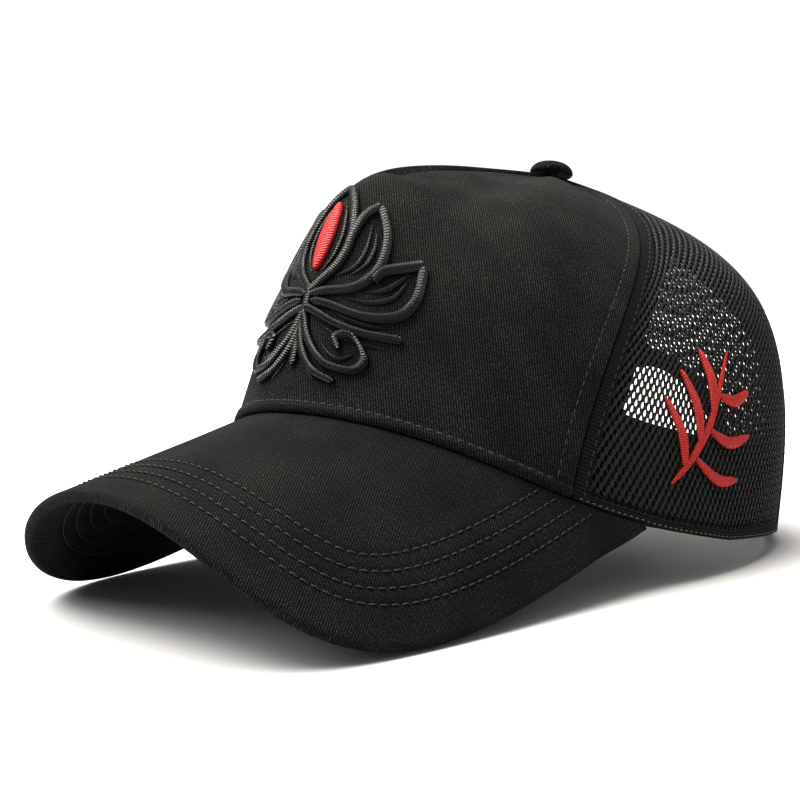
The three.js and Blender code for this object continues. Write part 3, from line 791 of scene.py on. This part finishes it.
def polyester_net(name):
    material, tree, shader, cloth = new_cloth(name)
    loops = node(tree, "ShaderNodeTexWave", {"Vector": cloth, "Scale": bands(NET_YARN), "Distortion": 1.5},
                 bands_direction="DIAGONAL")
    fuzz = node(tree, "ShaderNodeTexNoise", {"Vector": cloth, "Scale": 2.0, "Detail": 3.0})
    yarn = node(tree, "ShaderNodeMath", {0: loops.outputs["Fac"], 1: fuzz.outputs["Fac"]},
                operation="MULTIPLY")
    make_surface(tree, shader, yarn.outputs[0], "#020202", "#3a3837", relief=yarn.outputs[0], strength=0.8,
                 depth=0.0007, roughness=0.5, specular=0.4)
    return material


# Cotton tape, woven flat with fine cross ribs: matt and even, with faint lines across it. The real ribs are
# 0.7 mm apart and are drawn at 1.1 mm, so that they show.
TAPE_RIB = 1.1


def ribbed_tape(name):
    material, tree, shader, cloth = new_cloth(name)
    ribs = node(tree, "ShaderNodeTexWave", {"Vector": cloth, "Scale": bands(TAPE_RIB), "Distortion": 0.4},
                bands_direction="Y")
    fuzz = node(tree, "ShaderNodeTexNoise", {"Vector": cloth, "Scale": 1.5, "Detail": 3.0})
    shade = node(tree, "ShaderNodeMath", {0: ribs.outputs["Fac"], 1: fuzz.outputs["Fac"]},
                 operation="MULTIPLY")
    make_surface(tree, shader, shade.outputs[0], "#070707", "#323130", relief=ribs.outputs["Fac"],
                 strength=0.5, depth=0.0002, roughness=0.85, specular=0.15)
    return material


def flipped(mesh):
    points, faces, uv = mesh
    return mirrored(points), [face[::-1] for face in faces], uv


grey_thread = sewing_thread("polyester thread, spun grey", "#9a968f")
net = polyester_net("polyester net, knitted and heat set")
edge_tape = ribbed_tape("cotton tape, woven with ribs")


def net_panel(where, first_seam, last_seam, has_opening):
    table = panel_middle(first_seam, last_seam)
    strips = [edge_strip(table, first_seam, 1)]
    rows = [stitches(*seam_line(first_seam, EDGE_STITCH, *EDGE_ROW_DEPTH_START_END))]
    start = first_seam["hem"]
    tape_end = row_end = last_seam["hem"]
    if has_opening:
        tape_end = back_angle(OPENING_HALF_WIDTH + BINDING_WIDTH - 1)
        row_end = back_angle(OPENING_HALF_WIDTH + BINDING_WIDTH)
    else:
        strips.append(edge_strip(table, last_seam, -1))
        rows.append(stitches(*seam_line(last_seam, -EDGE_STITCH, *EDGE_ROW_DEPTH_START_END)))
    strips.append(hem_strip(start, tape_end))
    meshes = [net_mesh(table, has_opening), joined(strips), joined(rows), hem_stitches(start, row_end)]
    for side in ("left", "right"):
        if side == "right":
            meshes = [flipped(mesh) for mesh in meshes]
        holes, edges, seams, hem = meshes
        panel = f"{where}_panel_{side}"
        piece(f"{panel}_net", holes, net, "net", panel)
        piece(f"{panel}_edges", edges, edge_tape, "tape")
        piece(f"{panel}_stitches", seams, black_thread_painted_sheen, "tape")
        piece(f"{where}_hem_{side}_stitches", hem, grey_thread, "tape")


net_panel("side", FRONT_SEAM, REAR_SEAM, False)
net_panel("back", REAR_SEAM, BACK_SEAM, True)

# Visor: a stiff board, covered on both sides with the same twill and bent to an arch. Four rows of
# stitching run round it at even distances from its rim, and its inner edge is sewn under the hem.
VISOR_LEDGE = 2.75
VISOR_LEDGE_SHARE = 0.04
VISOR_BEND_INTO = 15
VISOR_ROWS = (11.2, 15.6, 20.3, 25.0)
VISOR_ROW_SUNK = 0.12
VISOR_RIM_ROLL = 1.5
VISOR_SWELL = 0.08


def plan_inset(angle, depth):
    ahead = np.stack(plan(angle + SLOPE_STEP), -1) - np.stack(plan(angle - SLOPE_STEP), -1)
    ahead /= np.linalg.norm(ahead, axis=-1, keepdims=True)
    inward = np.stack([-ahead[..., 1], ahead[..., 0]], -1)
    return np.stack(plan(angle), -1) + inward * depth[..., None]


# The visor's top, the way out of it and its thickness, from the crown (0) to the rim (1)
def visor_surface(across, v):
    across, v = np.broadcast_arrays(across, v)
    angle = across * VISOR_END
    rim = visor_outline(1 - np.abs(across))
    rim[..., 0] *= np.where(across < 0, -1, 1)
    root = np.stack(plan(angle), -1)
    out = np.clip((v - VISOR_LEDGE_SHARE) / (1 - VISOR_LEDGE_SHARE), 0, 1)
    inset = plan_inset(angle, VISOR_LEDGE * (1 - np.clip(v / VISOR_LEDGE_SHARE, 0, 1)))
    flat = np.where(out[..., None] > 0, mix(root, rim, out[..., None]), inset)
    x, y = flat[..., 0], flat[..., 1]
    top = np.where(out > 0, visor_height(x, y), hem_height(angle))
    away = np.linalg.norm(root - rim, axis=-1) * out
    bent = smooth(0, VISOR_BEND_INTO, away)[..., None]
    outward = mix(np.array([0.0, 0.0, 1.0]), arch_normal(x, y), bent)
    outward /= np.linalg.norm(outward, axis=-1, keepdims=True)
    thickness = VISOR_THICKNESS * (1 - 0.5 * smooth(0.85, 1, np.abs(across)))
    return np.stack([x, y, top], -1), outward, thickness


# How far points of the visor are from its rim
def from_rim(points):
    half = visor_outline(np.linspace(0, 1, 150))
    outline = np.concatenate([half, half[-2::-1] * [-1, 1]])
    line = np.column_stack([outline, visor_height(outline[:, 0], outline[:, 1])])
    flat = points.reshape(-1, 3)
    nearest = np.concatenate([((part[:, None] - line[None]) ** 2).sum(-1).argmin(1)
                              for part in np.array_split(flat, 20)])
    found = np.full(len(flat), np.inf)
    for step in (-1, 0):
        start = np.clip(nearest + step, 0, len(line) - 2)
        way = line[start + 1] - line[start]
        reach = flat - line[start]
        share = np.clip((reach * way).sum(-1) / (way ** 2).sum(-1), 0, 1)
        found = np.minimum(found, np.linalg.norm(reach - way * share[:, None], axis=-1))
    return found.reshape(points.shape[:-1])


def visor_points():
    across = np.linspace(-1, 1, 261)[:, None]
    v = 1 - (1 - np.linspace(0, 1, 97)[None]) ** 1.15
    upper, outward, thickness = visor_surface(across, v)
    rim = from_rim(upper)
    sunk = sum(groove(rim, row, 0.6, 0.4) for row in VISOR_ROWS) * smooth(0.02, 0.08, v)
    edge = rolled_edge(rim, VISOR_RIM_ROLL)
    swell = VISOR_SWELL * np.sin(across * 31) * np.sin(v * 9)
    top_depth = sunk + np.minimum(edge, VISOR_RIM_ROLL) + swell * smooth(0.1, 0.3, v)
    under_depth = thickness - np.minimum(edge, 0.45 * thickness) - sunk * 0.7
    outer = upper - outward * top_depth[..., None]
    inner = upper - outward * under_depth[..., None]
    section = np.linspace(-ARCH_HALF_WIDTH, ARCH_HALF_WIDTH, 200)
    arc = walked(np.column_stack([section, arch_height(section, -FRONT_LENGTH)]), 0)
    uv = np.stack([np.interp(upper[..., 0], section, arc), -upper[..., 1]], -1)
    return outer, inner, uv


def visor_stitches():
    across = np.linspace(-0.995, 0.995, 500)[:, None]
    v = np.linspace(VISOR_LEDGE_SHARE, 1, 160)[None]
    upper, outward, thickness = visor_surface(across, v)
    rim = from_rim(upper)
    rows = []
    for row in VISOR_ROWS:
        columns = np.flatnonzero(rim[:, 0] > row + 0.3)
        places = np.array([np.interp(-row, -rim[column], np.arange(rim.shape[1])) for column in columns])
        low = places.astype(int)
        points = mix(upper[columns, low], upper[columns, low + 1], (places - low)[:, None])
        normals = outward[columns, low]
        under = points - normals * thickness[columns, 0][:, None]
        rows.append(stitches(points - normals * VISOR_ROW_SUNK, normals))
        rows.append(stitches(under + normals * VISOR_ROW_SUNK, -normals))
    return joined(rows)


visor_twill = cotton_twill("cotton twill, cut on the slant", "#4e4c4a", "#020202", 36)
piece("visor_twill", sheet(*visor_points()), visor_twill, "twill", "visor")
piece("visor_stitches", visor_stitches(), black_thread_painted_sheen, "twill")

# Sweatband: a folded cotton band sewn inside the hem, which also covers the visor's inner edge. It puckers
# a little where it is sewn, and ends on both sides of the back opening.
BAND_OUTER, BAND_INNER = 3.5, 4.9
BAND_HEIGHT = 32
BAND_REACH = back_angle(39)
BAND_STITCH = 2.5
BAND_ROLL = 0.6


def sweatband_points():
    angle = np.linspace(-BAND_REACH, BAND_REACH, 301)[:, None]
    v = np.linspace(0, 1, 25)[None]
    cover = 1 - smooth(VISOR_END - 0.2, VISOR_END + 0.1, np.abs(angle))
    height = mix(-VISOR_THICKNESS * cover, BAND_HEIGHT, v)
    from_edge = np.minimum(v, 1 - v) * BAND_HEIGHT
    pucker = 0.15 * np.sin(angle * 70) * smooth(0.6, 1, v) + 0.1 * np.sin(angle * 31 + 2) * v
    round_edge = rolled_edge(from_edge, BAND_ROLL)
    sunk = groove(from_edge, BAND_STITCH, 0.6, 0.25)
    outer = wall(angle, height, BAND_OUTER + round_edge)
    inner = wall(angle, height, BAND_INNER - round_edge + pucker - sunk)
    uv = np.stack([walked(outer, 0), height + 0 * angle], -1)
    return outer, inner, uv


# The band's light shade, #6a6866, is partly a dark grey band's own colour and partly painted light that
# lightens the inside seen through the net's holes.
band_cotton = cotton_twill("cotton band, woven and dyed black", "#6a6866", "#141414", 0)
piece("sweatband_cotton", sheet(*sweatband_points()), band_cotton, "band", "sweatband")
band_angle = np.linspace(-BAND_REACH, BAND_REACH, 500)
band_row = stitches(wall(band_angle, BAND_STITCH, BAND_INNER - 0.1), -wall_normal(band_angle, BAND_STITCH))
piece("sweatband_stitches", band_row, black_thread_painted_sheen, "band")

# Seam tapes: woven cotton tape, sewn over the inside of each seam along both its edges. The tapes end short
# of the crown's top, where a patch of the same tape covers their ends.
TAPE_OUTER, TAPE_INNER = 2.45, 3.15
FRONT_TAPE_WIDTH = 22
BACK_TAPE_WIDTH = 10
TAPE_START, TAPE_END = 0.004, 12
BACK_TAPE_ABOVE_EDGE = 3.0
TAPE_STITCH = 1.5
TAPE_ROW_START, TAPE_ROW_END = 0.03, 0.93
PATCH_OUTER_EDGE, PATCH_INNER_EDGE = 18, 6
PATCH_BEHIND_TAPES = 0.1


def seam_tape(seam, width, low):
    share = row_share(np.linspace(math.acos(1 - 2 * low) / math.pi, 1, 110))[None]
    middle = seam_angle(seam, share)
    along = share * near_top(middle, TAPE_END)
    v = np.linspace(-0.5, 0.5, 15)[:, None]
    angle = middle + v * width / mm_per_radian(middle, along)
    from_edge = (0.5 - np.abs(v)) * width
    edge = rolled_edge(from_edge, 0.3)
    outer = layer(angle, along, TAPE_OUTER + edge)
    inner = layer(angle, along, TAPE_INNER - (groove(from_edge, TAPE_STITCH, 0.4, 0.15) + edge))
    uv = np.stack([v * width + 0 * along, walked(outer, 1)], -1)
    return sheet(outer, inner, uv)


def tape_patch():
    angle = np.linspace(FRONT_SEAM["top"] - 0.1, 2 * np.pi - FRONT_SEAM["top"] + 0.1, 60)[:, None]
    v = np.linspace(0, 1, 9)[None]
    along = near_top(angle, mix(PATCH_OUTER_EDGE, PATCH_INNER_EDGE, v))
    outer = layer(angle, along, TAPE_OUTER + PATCH_BEHIND_TAPES)
    inner = layer(angle, along, TAPE_INNER + PATCH_BEHIND_TAPES)
    uv = np.stack([walked(outer, 0), walked(outer, 1)], -1)
    return sheet(outer, inner, uv)


# The centre back tape starts under the opening's binding
above_edge = along_at_height(np.pi, OPENING_HEIGHT + BACK_TAPE_ABOVE_EDGE)
above_opening = float(above_edge / near_top(np.array(np.pi), TAPE_END))


def seam_tapes():
    left = [seam_tape(FRONT_SEAM, FRONT_TAPE_WIDTH, TAPE_START),
            seam_tape(REAR_SEAM, BACK_TAPE_WIDTH, TAPE_START)]
    right = [flipped(tape) for tape in left]
    return joined(left + right + [seam_tape(BACK_SEAM, BACK_TAPE_WIDTH, above_opening), tape_patch()])


def tape_stitches():
    rows = []
    for seam, width, low in ((FRONT_SEAM, FRONT_TAPE_WIDTH, TAPE_ROW_START),
                             (REAR_SEAM, BACK_TAPE_WIDTH, TAPE_ROW_START),
                             (BACK_SEAM, BACK_TAPE_WIDTH, above_opening + 0.02)):
        for side in (1, -1):
            offset = side * (width / 2 - TAPE_STITCH)
            points, normals = seam_line(seam, offset, TAPE_INNER, low, TAPE_ROW_END)
            rows.append(stitches(points, -normals))
            if seam is not BACK_SEAM:
                rows.append(stitches(mirrored(points), mirrored(-normals)))
    return joined(rows)


piece("seam_tapes_cotton", seam_tapes(), edge_tape, "tape", "seam_tapes")
piece("seam_tapes_stitches", tape_stitches(), black_thread_painted_sheen, "tape")

# Opening binding: the same woven tape, folded over the arched edge of the net at the back. It is stitched
# through near each of its edges.
BINDING_OUTER, BINDING_INNER = -0.2, 1.4
BINDING_STITCH = 1.8
BINDING_ROLL = 0.8
BINDING_ROW_SUNK = 0.15


def binding_points():
    turn = np.pi * (1 - np.linspace(0, 1, 161)[:, None])
    v = np.linspace(0, 1, 17)[None]
    x = (OPENING_HALF_WIDTH + BINDING_WIDTH * v) * np.cos(turn)
    height = (OPENING_HEIGHT + BINDING_WIDTH * v) * np.sin(turn) ** OPENING_SQUARENESS
    from_edge = np.minimum(v, 1 - v) * BINDING_WIDTH
    edge = rolled_edge(from_edge, BINDING_ROLL) + groove(from_edge, BINDING_STITCH, 0.5, 0.2)
    outer = wall(back_angle(x), height, BINDING_OUTER + edge)
    inner = wall(back_angle(x), height, BINDING_INNER - edge)
    uv = np.stack([v * BINDING_WIDTH + 0 * x, walked(outer, 0)], -1)
    return outer, inner, uv


def binding_stitches():
    turn = np.linspace(0.1, np.pi - 0.1, 500)
    rows = []
    for inset in (BINDING_STITCH, BINDING_WIDTH - BINDING_STITCH):
        angle = back_angle((OPENING_HALF_WIDTH + inset) * np.cos(turn))
        height = (OPENING_HEIGHT + inset) * np.sin(turn) ** OPENING_SQUARENESS
        normals = wall_normal(angle, height)
        rows.append(stitches(wall(angle, height, BINDING_OUTER + BINDING_ROW_SUNK), normals))
        rows.append(stitches(wall(angle, height, BINDING_INNER - BINDING_ROW_SUNK), -normals))
    return joined(rows)


piece("opening_binding_tape", sheet(*binding_points()), edge_tape, "tape", "opening_binding")
piece("opening_binding_stitches", binding_stitches(), black_thread_painted_sheen, "tape")

# Back strap: a plain strap of moulded plastic that closes the opening at the hem. It lies behind the net
# and its binding, and reaches a little past them on both sides.
STRAP_OUTER, STRAP_INNER = 1.75, 3.1
STRAP_HALF_LENGTH = 47
STRAP_HEIGHT = 18
STRAP_ROLL = 0.6


def strap_points():
    u = np.linspace(-1, 1, 121)[:, None]
    v = np.linspace(0, 1, 15)[None]
    angle = back_angle(u * STRAP_HALF_LENGTH)
    from_edge = np.minimum(np.minimum(v, 1 - v) * STRAP_HEIGHT, (1 - np.abs(u)) * STRAP_HALF_LENGTH)
    edge = rolled_edge(from_edge, STRAP_ROLL)
    outer = wall(angle, STRAP_HEIGHT * v, STRAP_OUTER + edge)
    inner = wall(angle, STRAP_HEIGHT * v, STRAP_INNER - edge)
    outer[..., 2] = STRAP_HEIGHT * v
    inner[..., 2] = STRAP_HEIGHT * v
    uv = np.stack([u * STRAP_HALF_LENGTH + 0 * v, STRAP_HEIGHT * v + 0 * u], -1)
    return outer, inner, uv


# Polyethylene, moulded in a fine-grained tool: smooth with a low, even shine
def moulded_strap(name):
    material, tree, shader, cloth = new_cloth(name)
    grain = node(tree, "ShaderNodeTexNoise", {"Vector": cloth, "Scale": 2.5, "Detail": 3.0})
    make_surface(tree, shader, grain.outputs["Fac"], "#111111", "#1b1b1a", relief=grain.outputs["Fac"],
                 strength=0.25, depth=0.0001, roughness=0.5, specular=0.3)
    return material


strap_plastic = moulded_strap("polyethylene, moulded black")
piece("back_strap_plastic", sheet(*strap_points()), strap_plastic, "strap", "back_strap")

# Button: a metal blank with a round of the same twill pressed over it, drawn into fine creases at its rim.
# It is held by its shank, which goes through the crown's top.
BUTTON_RADIUS = 7.8
BUTTON_HEIGHT = 4.5
BUTTON_SKIRT = 0.6
BUTTON_CREASE = 0.12
SHANK_RADIUS = 2.6
SHANK_LENGTH = 3.4
BUTTON_TILT = math.radians(12)


def button_mesh():
    dome = [(BUTTON_RADIUS * math.cos(t) ** 0.7, (BUTTON_HEIGHT - 0.4) * math.sin(t) ** 1.1 + 0.4)
            for t in np.linspace(0, np.pi / 2, 22)]
    shank = [(0.001, -SHANK_LENGTH), (SHANK_RADIUS, -SHANK_LENGTH), (SHANK_RADIUS, GAP)]
    skirt = [(BUTTON_RADIUS - BUTTON_SKIRT, GAP - BUTTON_SKIRT)]
    profile = np.array(shank + skirt + dome[:-1] + [(0.001, BUTTON_HEIGHT)])
    turn = np.linspace(0, 2 * np.pi, 96, endpoint=False)[:, None]
    radius, height = profile[None, :, 0], profile[None, :, 1]
    crease = BUTTON_CREASE * np.sin(turn * 17)
    crease = crease * smooth(0.75, 1, radius / BUTTON_RADIUS) * smooth(-1, 1, -height + 1)
    radius = radius - np.abs(crease)
    local = np.stack([radius * np.cos(turn), radius * np.sin(turn), height + 0 * turn], -1)
    cosine, sine = math.cos(BUTTON_TILT), math.sin(BUTTON_TILT)
    y = local[..., 1] * cosine + local[..., 2] * sine
    z = -local[..., 1] * sine + local[..., 2] * cosine
    points = np.stack([local[..., 0], y, z], -1) + CROWN_TOP
    at = np.arange(points[..., 0].size).reshape(points.shape[:2])
    after = np.roll(at, -1, 0)
    quads = np.stack([at[:, :-1], after[:, :-1], after[:, 1:], at[:, 1:]], -1).reshape(-1, 4)
    faces = [tuple(quad) for quad in quads.tolist()]
    faces += [tuple(at[::-1, 0].tolist()), tuple(at[:, -1].tolist())]
    return points.reshape(-1, 3), faces, local.reshape(-1, 3)[:, :2]


pressed_twill = cotton_twill("cotton twill, pressed over the blank", "#403e3c", "#0d0d0d", 40)
piece("button_twill", button_mesh(), pressed_twill, "twill", "button")

# Front embroidery: a lotus with scrolls, in thick satin-stitched cords of glossy black thread that stand up
# from the twill. Thinner cords echo them, and a red petal fills the heart.
CORD_WIDTH = 3.0
CORD_HEIGHT = 1.3
CORD_RISE, SIDE_RISE = 0.03, 0.01
CORD_STEP = 0.3
LOTUS_HALF = {
    "inner petal": [(0, 37), (7.5, 46), (9.5, 56), (6, 66), (0, 74)],
    "second petal": [(1, 36), (14, 42), (20, 52), (19, 62), (13, 70)],
    "second petal, inside": [(13, 70), (10.5, 65), (9.6, 59), (9.5, 54)],
    "third petal": [(2, 34), (18, 36), (28, 43), (31.5, 52), (30, 62)],
    "third petal, inside": [(30, 62), (25, 57), (21.5, 53), (20, 49)],
    "sepal": [(0, 32), (12, 30), (22, 32), (32, 38)],
    "scroll": [(0, 31), (4, 23), (12, 17), (21, 18), (24, 24), (19, 29), (14, 26), (16, 22.5)],
    "lower leaf": [(0, 26), (3, 19), (9, 13.5), (17, 12)],
}
LOTUS_FINE_HALF = {
    "inner petal, echo": [(2.2, 43.5), (5.2, 49), (6.0, 56), (4.2, 63), (0.8, 69)],
    "second petal, vein": [(8.5, 43.5), (13.4, 49), (14.8, 56), (13.2, 64.5)],
    "second petal, side vein": [(13, 46), (16.4, 51.5), (17, 57), (15.6, 62)],
    "third petal, vein": [(12, 38.5), (20, 41.5), (26, 48), (28, 56)],
    "third petal, side vein": [(18, 43.5), (23, 48), (26, 53.5), (27.5, 58)],
    "sepal, echo": [(4, 28.5), (12, 26.8), (20, 27.6), (28, 31)],
    "sepal, upper": [(8, 33.5), (15, 33), (22, 35), (28, 39)],
    "scroll, inside": [(9, 22.5), (13, 20), (17, 20), (20.5, 23.5)],
    "leaf, echo": [(1.8, 21), (5, 14.5), (9.5, 10.5)],
}
FINE_WIDTH = 1.5
FINE_HEIGHT = 0.9
FINE_SUNK = 0.3
HEART_WIDTH = 6.5
LOTUS_STEM = [(0, 39), (0, 33), (0, 26), (0, 14)]
LOTUS_HEART = [(0, 44), (0, 56), (0, 67)]
centre_along = np.linspace(0, 1, 2001)
centre_climb = walked(crown(0 * centre_along, centre_along), 0)


# A point above the front panel, by its distances from the middle and from the hem
def on_front(across, up, lift):
    along = np.interp(up, centre_climb, centre_along)
    return layer(across / mm_per_radian(0 * along, along), along, -lift)


# A smooth line through its corners
def drawn_line(corners, shares):
    corners = np.array(corners, float)
    last = len(corners) - 1
    place = shares * last
    index = np.minimum(place.astype(int), last - 1)
    s = (place - index)[:, None]
    p0, p1 = corners[np.maximum(index - 1, 0)], corners[index]
    p2, p3 = corners[index + 1], corners[np.minimum(index + 2, last)]
    v0, v1 = (p2 - p0) / 2, (p3 - p1) / 2
    cubic = (2 * p1 - 2 * p2 + v0 + v1) * s ** 3
    return cubic + (-3 * p1 + 3 * p2 - 2 * v0 - v1) * s ** 2 + v0 * s + p1


# A satin-stitched cord: round on top, with fine ridges where the threads cross it at a slant
THREAD_RIDGE = 0.75
RIDGE_HEIGHT, RIDGE_SLANT = 0.05, 1.2
FULL_HEIGHT_HALF_WIDTH = 0.9
OVER_THE_TOP = 1.3


def satin_cord(corners, width, height, place, bottom):
    line = drawn_line(corners, np.linspace(0, 1, 400))
    way = walked(line, 0)
    steps = int(way[-1] / CORD_STEP) + 2
    share = np.interp(np.linspace(0, way[-1], steps), way, np.linspace(0, 1, 400))
    line = drawn_line(corners, share)
    way = walked(line, 0)
    ahead = np.gradient(line, axis=0)
    ahead /= np.linalg.norm(ahead, axis=1, keepdims=True)
    turn = np.linspace(0, np.pi, 11)[None]
    half = width(share)[:, None] / 2
    ridge = RIDGE_HEIGHT * np.sin(2 * np.pi * (way[:, None] + np.cos(turn) * RIDGE_SLANT) / THREAD_RIDGE)
    off = -np.cos(turn) * half
    own_height = height * np.minimum(1, half / FULL_HEIGHT_HALF_WIDTH)
    lift = bottom + (own_height + ridge) * np.sin(turn) ** 0.75
    x = line[:, None, 0] - ahead[:, None, 1] * off
    y = line[:, None, 1] + ahead[:, None, 0] * off
    top = place(x, y, lift)
    under = place(x, y, np.full_like(lift, bottom) - 0.1)
    uv = np.stack([off * OVER_THE_TOP, way[:, None] + 0 * off], -1)
    return sheet(top, under, uv)


# A cord keeps its width almost to its ends, and a leaf tapers all the way to both
def cord_width(share):
    return CORD_WIDTH * (0.35 + 0.65 * np.minimum(1, 6 * np.sin(np.pi * share)))


def leaf_width(widest):
    def width(share):
        return widest * (0.15 + 0.85 * np.sin(np.pi * share) ** 0.8)

    return width


# Rayon embroidery thread laid side by side in satin stitch: silky, with bright streaks along the threads that
# are painted sheen in its colour.
# The real threads are 0.35 mm wide and are drawn at 0.8 mm, so that they show.
SATIN_THREAD = 0.8


def satin_thread(name, light, dark, roughness):
    material, tree, shader, cloth = new_cloth(name)
    leaning = node(tree, "ShaderNodeMapping", {"Vector": cloth, "Rotation": (0, 0, math.radians(12))})
    threads = node(tree, "ShaderNodeTexWave", {"Vector": leaning.outputs[0], "Scale": bands(SATIN_THREAD),
                                               "Distortion": 1.2}, bands_direction="Y")
    patches = node(tree, "ShaderNodeTexNoise", {"Vector": cloth, "Scale": 0.5, "Detail": 2.0})
    shade = node(tree, "ShaderNodeMath", {0: threads.outputs["Fac"], 1: patches.outputs["Fac"]},
                 operation="MULTIPLY")
    make_surface(tree, shader, shade.outputs[0], dark, light, relief=threads.outputs["Fac"], strength=1.0,
                 depth=0.0004, roughness=roughness, specular=0.55)
    return material


def lotus():
    cords = [satin_cord(LOTUS_STEM, cord_width, CORD_HEIGHT, on_front, GAP)]
    for order, line in enumerate(LOTUS_HALF.values()):
        for side in (1, -1):
            height = CORD_HEIGHT + CORD_RISE * order + SIDE_RISE * side
            corners = [(side * x, y) for x, y in line]
            cords.append(satin_cord(corners, cord_width, height, on_front, GAP))
    return joined(cords)


def lotus_fine_lines():
    cords = []
    width = leaf_width(FINE_WIDTH)
    for line in LOTUS_FINE_HALF.values():
        for side in (1, -1):
            corners = [(side * x, y) for x, y in line]
            cords.append(satin_cord(corners, width, FINE_HEIGHT, on_front, GAP - FINE_SUNK))
    return joined(cords)


# The black satin's light shade, #2a2927, gives the painted highlight streaks along its threads.
black_satin = satin_thread("rayon thread, satin stitched black", "#2a2927", "#020202", 0.25)
red_satin = satin_thread("rayon thread, satin stitched red", "#ee2f24", "#a5120d", 0.5)
piece("front_motif_satin", lotus(), black_satin, "satin", "front_motif")
piece("front_motif_fine_satin", lotus_fine_lines(), black_satin, "satin")
heart = satin_cord(LOTUS_HEART, leaf_width(HEART_WIDTH), CORD_HEIGHT, on_front, GAP)
piece("motif_heart_satin", heart, red_satin, "red_thread", "motif_heart")

# Side embroidery: a spray of slender leaves in red thread, satin-stitched through the net. It is flatter
# than the front's.
LEAF_HEIGHT = 0.8
LEAF_WIDTH, STEM_WIDTH = 3.8, 2.4
SPRAY_ANGLE = math.radians(89)
SPRAY_HEIGHT = 36
SPRAY_STEM = [(-20, -22), (-8, -12), (5, 2), (17, 22)]
SPRAY_LEAVES_ROOT_TIP_BOW = [
    ((-13, -16.5), (-16, 4), -3),
    ((-8, -12), (12, -18), -3),
    ((-4, -8), (-6, 14), -3),
    ((1, -2.5), (21, -5), -3),
    ((5, 2), (5, 22), -2.5),
    ((9, 8), (23, 9), -2.5),
]
spray_along = np.linspace(0, 0.7, 2001)
spray_height = crown(SPRAY_ANGLE + 0 * spray_along, spray_along)[:, 2]
spray_rise = spray_height - hem_height(np.array(SPRAY_ANGLE)) - GAP


def on_side(across, up, lift):
    along = np.interp(SPRAY_HEIGHT + up, spray_rise, spray_along)
    angle = SPRAY_ANGLE + across / mm_per_radian(SPRAY_ANGLE + 0 * along, along)
    return layer(angle, along, NET_OUTER - lift)


def spray():
    leaves = [satin_cord(SPRAY_STEM, leaf_width(STEM_WIDTH), LEAF_HEIGHT, on_side, GAP)]
    for order, (root, tip, bow) in enumerate(SPRAY_LEAVES_ROOT_TIP_BOW):
        root, tip = np.array(root, float), np.array(tip, float)
        off = (tip - root) / np.linalg.norm(tip - root)
        lifted = (root + tip) / 2 + np.array([-off[1], off[0]]) * bow
        height = LEAF_HEIGHT + CORD_RISE * (order + 1)
        leaves.append(satin_cord([root, lifted, tip], leaf_width(LEAF_WIDTH), height, on_side, GAP))
    return joined(leaves)


piece("side_motif_satin", spray(), red_satin, "red_thread", "side_motif")
